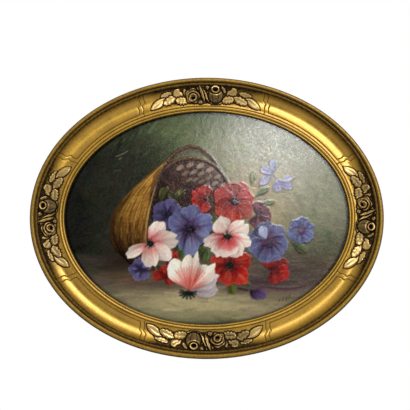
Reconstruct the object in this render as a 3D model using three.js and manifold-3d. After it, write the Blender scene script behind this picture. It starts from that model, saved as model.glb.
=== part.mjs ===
// Framed oval oil painting, in millimetres.
// +X is right and +Z is up as the picture hangs; the viewer stands on the -Y side.
// The wall plane is y = 0, and the origin lies on the hanging plate, just above its keyhole.

import * as THREE from 'three';
import { mergeVertices } from 'three/addons/utils/BufferGeometryUtils.js';
import Module from 'manifold-3d';

const wasm = await Module();
wasm.setup();

// Driving dimensions. "Depth" is the distance in front of the wall plane.
const SIGHT_WIDTH = 394;
const SIGHT_HEIGHT = 296;
const FACE_WIDTH = 46.4;
const FRAME_DEPTH = 32;
const REBATE_WIDTH = 4.3;
const REBATE_DEPTH = 13.6;
const OUTER_BEAD_RADIUS = 2.6;
const COVE_RADIUS = 16.4;
const COVE_FLOOR_DEPTH = 18.2;
const COVE_MIDDLE = 26.3;
const CANVAS_LAP = 3;
const CANVAS_THICKNESS = 1.2;
const STRAINER_LAP = 2.2;
const STRAINER_WIDTH = 28;
const STRAINER_BACK = 3.9;
const CROSSBAR_WIDTH = 28;
const CASTING_HALF_LENGTH = 80;
const CASTING_HALF_WIDTH = 12.5;
const CASTING_PAD = 1.6;
const HANG_POINT_BELOW_TOP = 14;
const GAP = 0.3;

const OVAL_STEPS = 48;
const MERGE_DISTANCE = 1e-4;
const SIGHT_A = SIGHT_WIDTH / 2;
const SIGHT_B = SIGHT_HEIGHT / 2;
const CENTRE_Z = HANG_POINT_BELOW_TOP - SIGHT_B - FACE_WIDTH;
const CANVAS_FRONT = REBATE_DEPTH - GAP;
const CANVAS_BACK = CANVAS_FRONT - CANVAS_THICKNESS;
const STRAINER_FRONT = CANVAS_BACK - GAP;
const degrees = (value) => value * Math.PI / 180;

const finishes = {
  gold: { color: 0xb8923f, roughness: 0.38, metalness: 0.85 },
  castGold: { color: 0xa8843c, roughness: 0.42, metalness: 0.8 },
  painting: { color: 0x6f6a4c, roughness: 0.4, metalness: 0 },
  wood: { color: 0xb08a5a, roughness: 0.75, metalness: 0 },
  steel: { color: 0x8d8a84, roughness: 0.45, metalness: 0.9 },
};

const painting = new THREE.Group();

function addPiece(name, shape, finish) {
  const mesh = new THREE.Mesh(geometryOf(shape), new THREE.MeshStandardMaterial(finish));
  mesh.name = name;
  painting.add(mesh);
}

// ---- Solids ----

function solid(geometry) {
  const bare = geometry.clone();
  bare.deleteAttribute('normal');
  bare.deleteAttribute('uv');
  const merged = mergeVertices(bare, MERGE_DISTANCE);
  const corners = merged.index.array;
  const kept = [];
  for (let i = 0; i < corners.length; i += 3) {
    const [a, b, c] = corners.subarray(i, i + 3);
    if (a !== b && b !== c && c !== a) {
      kept.push(a, b, c);
    }
  }
  const vertProperties = new Float32Array(merged.attributes.position.array);
  return new wasm.Manifold(new wasm.Mesh({ numProp: 3, vertProperties, triVerts: new Uint32Array(kept) }));
}

function geometryOf(manifold) {
  const mesh = manifold.getMesh();
  const geometry = new THREE.BufferGeometry();
  geometry.setAttribute('position', new THREE.BufferAttribute(mesh.vertProperties, 3));
  geometry.setIndex(new THREE.BufferAttribute(mesh.triVerts, 1));
  geometry.computeVertexNormals();
  return geometry;
}

// ---- The oval ----

// A point in the plane of the picture, as [x, z]. The turn runs clockwise from the top, as seen from the
// front, and the offset runs outwards from the sight edge, square to it.
function ovalPoint(turn, offset) {
  const normal = new THREE.Vector2(SIGHT_B * Math.sin(turn), SIGHT_A * Math.cos(turn)).normalize();
  const x = SIGHT_A * Math.sin(turn) + offset * normal.x;
  const z = SIGHT_B * Math.cos(turn) + offset * normal.y;
  return [x, CENTRE_Z + z];
}

// A lathe shape whose faces point outwards whichever way round its profile is given.
function turned(profile, steps) {
  const order = THREE.ShapeUtils.area(profile) < 0 ? profile.toReversed() : profile;
  return new THREE.LatheGeometry(order, steps);
}

// A closed section of [offset, depth] corners swept round the oval: turned on a circle, then each point is
// moved to the same turn and offset on the oval.
function ovalSweep(section) {
  const circle = 1000;
  const profile = section.map(([offset, depth]) => new THREE.Vector2(circle + offset, -depth));
  const geometry = turned([...profile, profile[0]], OVAL_STEPS);
  const place = geometry.attributes.position;
  for (let i = 0; i < place.count; i += 1) {
    const turn = Math.atan2(place.getX(i), place.getZ(i));
    const offset = Math.hypot(place.getX(i), place.getZ(i)) - circle;
    const [x, z] = ovalPoint(turn, offset);
    place.setXYZ(i, x, place.getY(i), z);
  }
  return solid(geometry);
}

// A flat shape drawn in the plane of the picture, with its y as +Z, thickened from one depth to another.
function plate(shape, nearDepth, farDepth) {
  const options = { depth: farDepth - nearDepth, bevelEnabled: false, curveSegments: 5 };
  const geometry = new THREE.ExtrudeGeometry(shape, options);
  geometry.rotateX(Math.PI / 2);
  geometry.translate(0, -nearDepth, 0);
  return solid(geometry);
}

function ovalShape(offset) {
  const points = [];
  for (let i = 0; i < OVAL_STEPS; i += 1) {
    points.push(new THREE.Vector2(...ovalPoint(2 * Math.PI * i / OVAL_STEPS, offset)));
  }
  return new THREE.Shape(points);
}

// ---- The moulding ----

// Points of an arc as [inward, depth], with the angle measured from straight ahead towards the sight edge.
function arc(inward, depth, radius, fromDegrees, toDegrees, count) {
  const points = [];
  for (let i = 0; i < count; i += 1) {
    const angle = degrees(fromDegrees + (toDegrees - fromDegrees) * i / (count - 1));
    points.push([inward + radius * Math.sin(angle), depth + radius * Math.cos(angle)]);
  }
  return points;
}

// The section of the moulding from the outer edge across its front to the sight edge, then round its back,
// given as [inward from the outer edge, depth] and kept as [offset, depth].
const outerBead = arc(4.5, FRAME_DEPTH - OUTER_BEAD_RADIUS, OUTER_BEAD_RADIUS, -100, 110, 5);
const cove = arc(COVE_MIDDLE, COVE_FLOOR_DEPTH + COVE_RADIUS, COVE_RADIUS, 180 + 62, 180 - 29, 5);
const ovolo = arc(41, 18.6, 2.2, -40, 70, 3);
const sightBead = arc(44.8, 17.4, 1.4, -50, 80, 2);
const mouldingSection = [
  [0, 22],
  [0, 25.6],
  [1.6, 26.4],
  ...outerBead,
  [8, 28.9],
  [10.7, 28.9],
  [11.4, 27.2],
  ...cove,
  [34.9, 19.6],
  [35.6, 20.5],
  [38.6, 20.8],
  [39.3, 19.9],
  ...ovolo,
  ...sightBead,
  [FACE_WIDTH, 16.6],
  [FACE_WIDTH, REBATE_DEPTH],
  [FACE_WIDTH - REBATE_WIDTH, REBATE_DEPTH],
  [FACE_WIDTH - REBATE_WIDTH, 0],
  [1.5, 0],
].map(([inward, depth]) => [FACE_WIDTH - inward, depth]);

// ---- Hanging plate, screws and nails ----

const plateWidth = 50;
const plateHeight = 20;
const plateThickness = 1.8;
const plateCornerRadius = 3;
const plateCentreZ = -7.5;
const screwSpacing = 36;
const screwHeadRadius = 3.2;
const screwShankRadius = 1.5;
const screwLength = 13;
const keyholeRadius = 4.5;
const keyholeSlotRadius = 2.4;
const keyholeTop = -2.5;
const keyholeCentreZ = keyholeTop - keyholeSlotRadius - 5.5;
const headRoomWidth = 13;
const headRoomHeight = 15;
const headRoomDepth = 8;
const headRoomCornerRadius = 6;
const nailCount = 6;
const nailRadius = 0.7;
const nailDepth = 2.2;
const nailEmbedded = 9;
const nailShowing = 9;

function roundedRectangle(width, height, radius, centreZ) {
  const shape = new THREE.Shape();
  const right = width / 2 - radius;
  const top = height / 2 - radius;
  shape.absarc(right, centreZ + top, radius, 0, Math.PI / 2);
  shape.absarc(-right, centreZ + top, radius, Math.PI / 2, Math.PI);
  shape.absarc(-right, centreZ - top, radius, Math.PI, 1.5 * Math.PI);
  shape.absarc(right, centreZ - top, radius, 1.5 * Math.PI, 2 * Math.PI);
  return shape;
}

// A round hole for the head of the wall screw, with a narrower slot above it for the shank.
function keyhole() {
  const path = new THREE.Path();
  const shoulder = Math.asin(keyholeSlotRadius / keyholeRadius);
  path.absarc(0, keyholeCentreZ, keyholeRadius, Math.PI / 2 + shoulder, 2.5 * Math.PI - shoulder);
  path.absarc(0, keyholeTop - keyholeSlotRadius, keyholeSlotRadius, 0, Math.PI);
  return path;
}

// A screw lies along Y with its head in the wall plane. The clearance widens it for the hole that it sits in.
function screw(x, clearance) {
  const head = screwHeadRadius + clearance;
  const shank = screwShankRadius + clearance;
  const profile = [
    [0, 0],
    [head, 0],
    [shank, -plateThickness],
    [shank, -screwLength + 2],
    [0, -screwLength - clearance],
  ];
  const geometry = turned(profile.map(([r, y]) => new THREE.Vector2(r, y)), 16);
  geometry.translate(x, 0, plateCentreZ);
  return solid(geometry);
}

function driverSlot(x) {
  const geometry = new THREE.BoxGeometry(3 * screwHeadRadius, 1.4, 0.9);
  geometry.rotateY(degrees(x > 0 ? 25 : -40));
  geometry.translate(x, 0, plateCentreZ);
  return solid(geometry);
}

// A nail lies square to the rebate wall, half in the moulding and half over the back of the strainer.
function nail(index, radius, extraLength) {
  const turn = 2 * Math.PI * (index + 0.5) / nailCount;
  const length = nailEmbedded + nailShowing;
  const [x, z] = ovalPoint(turn, REBATE_WIDTH + (nailEmbedded - nailShowing) / 2);
  const geometry = new THREE.CylinderGeometry(radius, radius, length + extraLength, 8);
  geometry.rotateX(Math.PI / 2);
  geometry.rotateY(Math.atan2(SIGHT_B * Math.sin(turn), SIGHT_A * Math.cos(turn)));
  geometry.translate(x, -nailDepth, z);
  return solid(geometry);
}

// ---- The frame ----

function platePocket() {
  const seat = roundedRectangle(plateWidth + 2 * GAP, plateHeight + 2 * GAP, plateCornerRadius, plateCentreZ);
  const headRoom = roundedRectangle(headRoomWidth, headRoomHeight, headRoomCornerRadius, plateCentreZ - 1);
  return plate(seat, -1, plateThickness + GAP).add(plate(headRoom, -1, plateThickness + headRoomDepth));
}

function frame() {
  let body = ovalSweep(mouldingSection).subtract(platePocket());
  for (const x of [-screwSpacing / 2, screwSpacing / 2]) {
    body = body.subtract(screw(x, GAP));
  }
  for (let i = 0; i < nailCount; i += 1) {
    body = body.subtract(nail(i, nailRadius + GAP, 2 * GAP));
  }
  return body;
}

// ---- The castings ----

// Castings are laid out flat and then bent to the oval. In the flat, x runs clockwise along the middle of the
// cove from the casting's own middle, z runs outwards from the sight edge, and -y is depth.
const middleOffset = FACE_WIDTH - COVE_MIDDLE;

function turnAlong(startTurn, distance) {
  const step = 0.002 * Math.sign(distance);
  let turn = startTurn;
  let travelled = 0;
  let from = ovalPoint(turn, middleOffset);
  while (travelled < Math.abs(distance)) {
    const to = ovalPoint(turn + step, middleOffset);
    const length = Math.hypot(to[0] - from[0], to[1] - from[1]);
    const share = Math.min(1, (Math.abs(distance) - travelled) / length);
    turn += share * step;
    travelled += length;
    from = to;
  }
  return turn;
}

function bent(geometry, middleTurn) {
  const place = geometry.attributes.position;
  for (let i = 0; i < place.count; i += 1) {
    const turn = turnAlong(middleTurn, place.getX(i));
    const [x, z] = ovalPoint(turn, place.getZ(i));
    place.setXYZ(i, x, place.getY(i), z);
  }
  return geometry;
}

// A leaf lying along x, pointed at both ends, with the groove of its midrib between two ridges. The tilt
// swings its right-hand end towards the sight edge.
function leaf({ x, inward, depth, length, width, height, tilt }) {
  const sides = 6;
  const geometry = new THREE.SphereGeometry(1, sides, 3);
  geometry.rotateZ(Math.PI / 2);
  geometry.rotateX(Math.PI / sides);
  const place = geometry.attributes.position;
  for (let i = 0; i < place.count; i += 1) {
    const onMidrib = Math.abs(place.getZ(i)) < 0.1;
    place.setY(i, (onMidrib ? 0.7 : 2) * place.getY(i));
  }
  geometry.scale(length / 2, height, width / 2);
  geometry.rotateY(degrees(tilt));
  geometry.translate(x, -depth, FACE_WIDTH - inward);
  return geometry;
}

// A rose seen from in front: a low dome with notches between its five outer petals and a hollow heart.
function rose({ x, inward, depth, radius, height, heartShift }) {
  const petals = 5;
  const profile = [
    [0, height - 4.5],
    [0.42 * radius, height],
    [0.82 * radius, 0.72 * height],
    [radius, 0],
    [0, -0.4 * height],
  ];
  const geometry = turned(profile.map(([r, y]) => new THREE.Vector2(r, -y)), 2 * petals);
  const place = geometry.attributes.position;
  for (let i = 0; i < place.count; i += 1) {
    const angle = Math.atan2(place.getZ(i), place.getX(i));
    const spread = 1 + 0.1 * Math.cos(petals * angle);
    const shift = Math.max(0, -place.getY(i) / height) * heartShift;
    place.setXYZ(i, spread * place.getX(i), place.getY(i), spread * place.getZ(i) + shift);
  }
  geometry.translate(x, -depth, FACE_WIDTH - inward);
  return geometry;
}

// The pad under the leaves: a skin over the cove inside a tapering outline.
function castingPad(middleTurn, stretch) {
  const outline = new THREE.Shape();
  const steps = 6;
  const edge = [];
  for (const side of [1, -1]) {
    for (let i = 0; i < steps; i += 1) {
      const along = -Math.cos(Math.PI * i / steps) * side;
      const width = CASTING_HALF_WIDTH * Math.pow(Math.max(0, 1 - Math.abs(along) ** 2.2), 0.6);
      const sag = 4.5 * along * along;
      edge.push([CASTING_HALF_LENGTH * stretch * along, middleOffset + side * width - sag]);
    }
  }
  const points = edge.map(([x, z]) => ovalPoint(turnAlong(middleTurn, x), z));
  outline.setFromPoints(points.map(([x, z]) => new THREE.Vector2(x, z)));
  return plate(outline, REBATE_DEPTH, FRAME_DEPTH + 4);
}

// The frame grown by the gap at its front, to be cut out of whatever is glued to it.
const frameClearance = ovalSweep(
  mouldingSection.map(([offset, depth]) => [offset, depth > REBATE_DEPTH ? depth + GAP : depth]),
);

// The front of the moulding raised by a height, as a band that runs behind the cove.
function raisedBand(height) {
  const front = cove.map(([inward, depth]) => [FACE_WIDTH - inward, depth + height]);
  const first = [FACE_WIDTH - cove[0][0] + 1.5, front[0][1] + 1.2];
  const last = [FACE_WIDTH - cove[cove.length - 1][0] - 1.5, front[front.length - 1][1] + 0.5];
  return ovalSweep([first, ...front, last, [last[0], REBATE_DEPTH - 4], [first[0], REBATE_DEPTH - 4]]);
}

// Each side of a casting ends in three pairs of leaves. Two blades cross between the roses.
function castingLeaves() {
  const leaves = [leaf({ x: 17.5, inward: 33.5, depth: 20.5, length: 11, width: 5, height: 2.5, tilt: 0 })];
  for (const side of [-1, 1]) {
    leaves.push(
      leaf({ x: 70 * side, inward: 28, depth: 20, length: 25, width: 9.5, height: 4, tilt: 24 * side }),
      leaf({ x: 53 * side, inward: 29.5, depth: 20.5, length: 23, width: 10.5, height: 4.5, tilt: 6 * side }),
      leaf({ x: 52 * side, inward: 18.5, depth: 23, length: 19, width: 6.5, height: 3.5, tilt: -20 * side }),
      leaf({ x: 34 * side, inward: 30.5, depth: 20.5, length: 19, width: 8.5, height: 5, tilt: 12 * side }),
      leaf({ x: 34 * side, inward: 21, depth: 22, length: 19, width: 9.5, height: 5, tilt: -15 * side }),
      leaf({ x: -1, inward: 25, depth: 22, length: 27, width: 7.5, height: 5.5, tilt: 90 - 28 * side }),
    );
  }
  return leaves;
}

// One pattern, stretched a little along the moulding as it is laid round the tighter or the flatter curve.
function casting(middleTurn, stretch) {
  const roses = [
    rose({ x: -17.5, inward: 24.5, depth: 22, radius: 10.5, height: 9.5, heartShift: -3.5 }),
    rose({ x: 14.5, inward: 23.5, depth: 22, radius: 10, height: 9.5, heartShift: 4.5 }),
  ];
  let body = raisedBand(CASTING_PAD + GAP).intersect(castingPad(middleTurn, stretch));
  for (const shape of [...castingLeaves(), ...roses]) {
    shape.scale(stretch, 1, 1);
    body = body.add(solid(bent(shape, middleTurn)));
  }
  return body.subtract(frameClearance);
}

// ---- Canvas and strainer ----

function strainer() {
  const inner = STRAINER_LAP - STRAINER_WIDTH;
  const ring = ovalSweep([
    [STRAINER_LAP, STRAINER_BACK],
    [STRAINER_LAP, STRAINER_FRONT],
    [STRAINER_LAP - 4, STRAINER_FRONT],
    [inner, STRAINER_FRONT - 1.8],
    [inner, STRAINER_BACK],
  ]);
  const reach = SIGHT_B + inner + 6;
  const bar = new THREE.BoxGeometry(CROSSBAR_WIDTH, STRAINER_FRONT - 2.4 - STRAINER_BACK, 2 * reach);
  bar.translate(0, -(STRAINER_FRONT - 2.4 + STRAINER_BACK) / 2, CENTRE_Z);
  return ring.add(solid(bar));
}

// ---- The pieces ----

addPiece('frame', frame(), finishes.gold);
addPiece('ornament_top', casting(0, 1), finishes.castGold);
addPiece('ornament_right', casting(Math.PI / 2, 0.95), finishes.castGold);
addPiece('ornament_bottom', casting(Math.PI, 1), finishes.castGold);
addPiece('ornament_left', casting(1.5 * Math.PI, 0.95), finishes.castGold);
addPiece('canvas', plate(ovalShape(CANVAS_LAP), CANVAS_BACK, CANVAS_FRONT), finishes.painting);
addPiece('strainer', strainer(), finishes.wood);

for (let i = 0; i < nailCount; i += 1) {
  addPiece(`nail_${i + 1}`, nail(i, nailRadius, 0), finishes.steel);
}

const hangerShape = roundedRectangle(plateWidth, plateHeight, plateCornerRadius, plateCentreZ);
hangerShape.holes.push(keyhole());
let hanger = plate(hangerShape, 0, plateThickness);
for (const [side, x] of [['left', -screwSpacing / 2], ['right', screwSpacing / 2]]) {
  hanger = hanger.subtract(screw(x, GAP));
  addPiece(`hanger_screw_${side}`, screw(x, 0).subtract(driverSlot(x)), finishes.steel);
}
addPiece('hanger_plate', hanger, finishes.steel);

export default painting;
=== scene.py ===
"""Framed oval oil painting: fine meshes, a painted picture and finishes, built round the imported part."""

import math

import bmesh
import bpy
import numpy as np
from mathutils import Matrix, Vector


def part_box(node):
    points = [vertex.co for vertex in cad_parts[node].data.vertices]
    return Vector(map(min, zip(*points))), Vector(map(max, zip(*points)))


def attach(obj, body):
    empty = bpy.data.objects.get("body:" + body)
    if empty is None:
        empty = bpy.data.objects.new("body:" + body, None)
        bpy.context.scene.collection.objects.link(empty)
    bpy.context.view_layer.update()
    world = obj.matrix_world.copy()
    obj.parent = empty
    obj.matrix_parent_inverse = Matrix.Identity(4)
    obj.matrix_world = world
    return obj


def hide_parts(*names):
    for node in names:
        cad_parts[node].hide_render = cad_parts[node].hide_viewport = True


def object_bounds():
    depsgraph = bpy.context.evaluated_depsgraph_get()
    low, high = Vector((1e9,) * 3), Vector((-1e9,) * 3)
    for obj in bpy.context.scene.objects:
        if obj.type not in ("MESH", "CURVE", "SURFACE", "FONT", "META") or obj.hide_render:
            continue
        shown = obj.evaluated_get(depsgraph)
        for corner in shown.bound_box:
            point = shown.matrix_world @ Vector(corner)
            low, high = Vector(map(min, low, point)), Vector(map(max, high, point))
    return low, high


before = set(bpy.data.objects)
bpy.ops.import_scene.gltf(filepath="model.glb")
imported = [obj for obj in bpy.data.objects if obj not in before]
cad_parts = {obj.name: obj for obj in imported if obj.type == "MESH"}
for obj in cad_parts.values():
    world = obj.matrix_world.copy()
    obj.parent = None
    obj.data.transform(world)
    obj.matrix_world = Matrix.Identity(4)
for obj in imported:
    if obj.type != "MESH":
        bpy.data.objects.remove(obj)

bl_info = {
    "name": "Framed Oval Oil Painting",
    "version": (1, 0, 0),
    "blender": (4, 5, 0),
    "location": "View3D > Sidebar > Oval Painting",
    "description": "Builds a gilded oval frame with a still life of flowers",
    "category": "Add Mesh",
}

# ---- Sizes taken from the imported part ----
# Lengths are millimetres until a mesh is placed. "Depth" is the distance in front of the wall plane, the
# "offset" runs outwards from the sight edge, "inward" runs back from the outer edge, and the "turn" runs
# clockwise from the top as seen from the front.

MM = 0.001
CAD_LOW, CAD_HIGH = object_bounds()
CANVAS_LOW, CANVAS_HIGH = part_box("canvas")
CANVAS_LAP = 3.0
CENTRE_Z = (CAD_LOW.z + CAD_HIGH.z) / 2 / MM
SIGHT_A = CANVAS_HIGH.x / MM - CANVAS_LAP
SIGHT_B = (CANVAS_HIGH.z - CANVAS_LOW.z) / 2 / MM - CANVAS_LAP
FACE_WIDTH = CAD_HIGH.x / MM - SIGHT_A
FRAME_DEPTH = -CAD_LOW.y / MM
REBATE_WIDTH = 4.3
REBATE_DEPTH = 13.6
COVE_MIDDLE = 26.3
COVE_RADIUS = 16.4
COVE_FLOOR = 18.2
CASTING_TURNS = {"top": 0.0, "right": 0.5 * math.pi, "bottom": math.pi, "left": 1.5 * math.pi}
# Hand work: each casting is shifted along and stretched a little to either side of its middle, and the panel
# ends are set out. The shade-and-wear pairs darken each half of a casting with painted shade and some wear.
# Pairs are before and after the middle, clockwise.
CASTING_SHIFT = {"top": -0.6, "right": 1.5, "bottom": 4.8, "left": 1.5}
CASTING_STRETCH = {"top": (0.95, 1.0), "right": (0.94, 1.0), "bottom": (0.99, 1.04), "left": (0.93, 0.97)}
CASTING_SHADE_AND_WEAR = {"top": (0.1, 0.4), "right": (0.6, 0.0), "bottom": (0.65, 0.0), "left": (0.45, 0.5)}
PANEL_ENDS = {"top": (85.5, 77.5), "right": (78.5, 81.5), "bottom": (77.5, 82.0), "left": (82.5, 79.5)}
PANEL_END = 77.5


# ---- The oval ----


def oval_point(turn, offset):
    """x and z on the oval, for arrays of turns and offsets."""
    across = SIGHT_B * np.sin(turn)
    up = SIGHT_A * np.cos(turn)
    length = np.hypot(across, up)
    x = SIGHT_A * np.sin(turn) + offset * across / length
    z = SIGHT_B * np.cos(turn) + offset * up / length
    return x, CENTRE_Z + z


def arc_table():
    """Turns round the oval, and the distance travelled to each along the middle of the cove."""
    turns = np.linspace(-math.pi, 3 * math.pi, 8001)
    x, z = oval_point(turns, FACE_WIDTH - COVE_MIDDLE)
    steps = np.hypot(np.diff(x), np.diff(z))
    distance = np.concatenate([[0.0], np.cumsum(steps)])
    return turns, distance


ARC_TURNS, ARC_DISTANCE = arc_table()
PERIMETER = np.interp(2 * math.pi, ARC_TURNS, ARC_DISTANCE) - np.interp(0.0, ARC_TURNS, ARC_DISTANCE)


def distance_at(turn):
    return np.interp(turn, ARC_TURNS, ARC_DISTANCE)


def turn_along(start_turn, distance):
    return np.interp(distance_at(start_turn) + distance, ARC_DISTANCE, ARC_TURNS)


def distance_from_casting(turn):
    """Distance from the nearest casting's middle, clockwise positive, scaled to end panels at PANEL_END."""
    nearest = np.full(np.shape(turn), 1e6)
    for side, middle in CASTING_TURNS.items():
        away = distance_at(turn) - distance_at(middle)
        away = (away + PERIMETER / 2) % PERIMETER - PERIMETER / 2
        before, after = PANEL_ENDS[side]
        away = away * PANEL_END / np.where(away < 0, before, after)
        nearest = np.where(np.abs(away) < np.abs(nearest), away, nearest)
    return nearest


def smooth(low, high, value):
    """0 below low, 1 above high, and a soft slope between."""
    share = np.clip((value - low) / (high - low), 0.0, 1.0)
    return share * share * (3 - 2 * share)


# ---- The moulding's section ----


def arc(inward, depth, radius, start, end, count):
    """Points of an arc, with angles in degrees from straight ahead towards the sight edge."""
    angles = np.radians(np.linspace(start, end, count))
    return [(inward + radius * math.sin(a), depth + radius * math.cos(a)) for a in angles]


MOULDING_FRONT = [
    (0.35, 12.0),
    (0.0, 22.0),
    (0.0, 24.9),
    (0.25, 25.6),
    (0.9, 26.0),
    (1.7, 26.5),
    *arc(4.4, FRAME_DEPTH - 2.65, 2.65, -92, 118, 15),
    (7.15, 27.95),
    (7.55, 28.1),
    (7.95, 28.75),
    (8.4, 28.95),
    (10.3, 28.9),
    (10.75, 28.6),
    (11.1, 27.7),
    (11.35, 26.9),
    *arc(COVE_MIDDLE, COVE_FLOOR + COVE_RADIUS, COVE_RADIUS, 180 + 64, 180 - 28, 30),
    (34.35, 19.8),
    (34.65, 19.95),
    (34.95, 20.1),
    (35.25, 20.25),
    (35.6, 20.4),
    (36.4, 20.7),
    (37.4, 20.85),
    (38.5, 20.9),
    (38.85, 20.6),
    (39.1, 19.75),
    (39.45, 19.8),
    *arc(41.0, 18.55, 2.2, -48, 66, 9),
    (43.15, 18.6),
    (43.4, 18.25),
    *arc(44.75, 17.45, 1.35, -62, 96, 9),
    (46.25, 16.7),
]
MOULDING_BACK = [
    (FACE_WIDTH, 16.2),
    (FACE_WIDTH, REBATE_DEPTH),
    (FACE_WIDTH - REBATE_WIDTH, REBATE_DEPTH),
    (FACE_WIDTH - REBATE_WIDTH, 6.0),
    (FACE_WIDTH - REBATE_WIDTH, 0.4),
    (FACE_WIDTH - REBATE_WIDTH - 0.4, 0.0),
    (2.2, 0.0),
    (1.6, 0.5),
]
FRONT_ORDER = np.argsort([point[0] for point in MOULDING_FRONT[2:]])
FRONT_INWARD = np.array([MOULDING_FRONT[2:][i][0] for i in FRONT_ORDER])
FRONT_DEPTH = np.array([MOULDING_FRONT[2:][i][1] for i in FRONT_ORDER])


def front_depth(inward):
    return np.interp(inward, FRONT_INWARD, FRONT_DEPTH)


# ---- Mesh helpers ----


def positions(mesh):
    values = np.empty(3 * len(mesh.vertices))
    mesh.vertices.foreach_get("co", values)
    return values.reshape(-1, 3)


def set_positions(mesh, places):
    mesh.vertices.foreach_set("co", np.ascontiguousarray(places, dtype=np.float32).ravel())
    mesh.update()


def set_values(mesh, name, values):
    layer = mesh.attributes.new(name, "FLOAT", "POINT")
    layer.data.foreach_set("value", np.ascontiguousarray(values, dtype=np.float32))


def set_vectors(mesh, name, values):
    layer = mesh.attributes.new(name, "FLOAT_VECTOR", "POINT")
    layer.data.foreach_set("vector", np.ascontiguousarray(values, dtype=np.float32).ravel())


def set_colours(mesh, name, values):
    layer = mesh.attributes.new(name, "FLOAT_COLOR", "POINT")
    rgba = np.ones((len(values), 4), dtype=np.float32)
    rgba[:, :3] = values
    layer.data.foreach_set("color", rgba.ravel())


def mesh_from(bm, name):
    bmesh.ops.recalc_face_normals(bm, faces=bm.faces)
    mesh = bpy.data.meshes.new(name)
    bm.to_mesh(mesh)
    bm.free()
    return mesh


def new_piece(name, mesh, materials, replaced=None, smooth_angle=None):
    """Puts a mesh in the scene as a piece on the root body."""
    piece = bpy.data.objects.new(name, mesh)
    bpy.context.collection.objects.link(piece)
    for material in materials:
        mesh.materials.append(material)
    mesh.polygons.foreach_set("use_smooth", np.ones(len(mesh.polygons), dtype=bool))
    if smooth_angle is not None:
        mesh.set_sharp_from_angle(angle=math.radians(smooth_angle))
    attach(piece, "root")
    if replaced:
        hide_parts(replaced)
    return piece


def sweep_vectors(turn, inward):
    """A seamless place on the moulding: two parts that run round it and one across it, in metres."""
    radius = PERIMETER / (2 * math.pi)
    round_angle = distance_at(turn) / radius
    return np.stack([radius * np.sin(round_angle), radius * np.cos(round_angle), inward], axis=1) * MM


# ---- Material helpers ----


def give(tree, node, inputs):
    """Joins a node's inputs, by name or number, to the sockets given, and sets those given plain values."""
    for name, value in inputs.items():
        if isinstance(value, bpy.types.NodeSocket):
            tree.links.new(value, node.inputs[name])
        else:
            node.inputs[name].default_value = value


def add_node(tree, kind, inputs=None, **settings):
    """Adds a node, sets its properties, then gives it its inputs."""
    node = tree.nodes.new(kind)
    for name, value in settings.items():
        setattr(node, name, value)
    give(tree, node, inputs or {})
    return node


def maths(tree, operation, first, second=0.0, third=0.0, clamp=False):
    inputs = {0: first, 1: second, 2: third}
    return add_node(tree, "ShaderNodeMath", inputs, operation=operation, use_clamp=clamp).outputs[0]


def mix_colour(tree, share, first, second, blend="MIX"):
    inputs = {0: share, 6: first, 7: second}
    node = add_node(tree, "ShaderNodeMix", inputs, data_type="RGBA", blend_type=blend, clamp_factor=True)
    return node.outputs[2]


def grey(tree, lightness):
    inputs = {0: lightness, 1: lightness, 2: lightness}
    return add_node(tree, "ShaderNodeCombineColor", inputs).outputs[0]


def bumped(tree, height, strength, distance):
    inputs = {"Height": height, "Strength": strength, "Distance": distance}
    return add_node(tree, "ShaderNodeBump", inputs).outputs["Normal"]


def spread(tree, value, low, high, out_low=0.0, out_high=1.0):
    inputs = {"Value": value, "From Min": low, "From Max": high, "To Min": out_low, "To Max": out_high}
    return add_node(tree, "ShaderNodeMapRange", inputs, interpolation_type="SMOOTHSTEP").outputs[0]


def noise(tree, vector, scale, detail=3.0, roughness=0.55):
    inputs = {"Vector": vector, "Scale": scale, "Detail": detail, "Roughness": roughness}
    return add_node(tree, "ShaderNodeTexNoise", inputs).outputs["Fac"]


def attribute(tree, name, output="Fac"):
    return add_node(tree, "ShaderNodeAttribute", attribute_name=name).outputs[output]


def stretched(tree, vector, scale):
    return add_node(tree, "ShaderNodeMapping", {"Vector": vector, "Scale": scale}).outputs[0]


def new_group(name, inputs, outputs):
    tree = bpy.data.node_groups.new(name, "ShaderNodeTree")
    for label, kind, value in inputs:
        socket = tree.interface.new_socket(label, in_out="INPUT", socket_type=kind)
        if value is not None:
            socket.default_value = value
    for label, kind in outputs:
        tree.interface.new_socket(label, in_out="OUTPUT", socket_type=kind)
    return tree, tree.nodes.new("NodeGroupInput"), tree.nodes.new("NodeGroupOutput")


def new_material(name):
    material = bpy.data.materials.new(name)
    material.use_nodes = True
    tree = material.node_tree
    return material, tree, tree.nodes["Principled BSDF"]


def rgba(colour):
    return (*colour, 1.0)


# ---- Gilding ----


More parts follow.
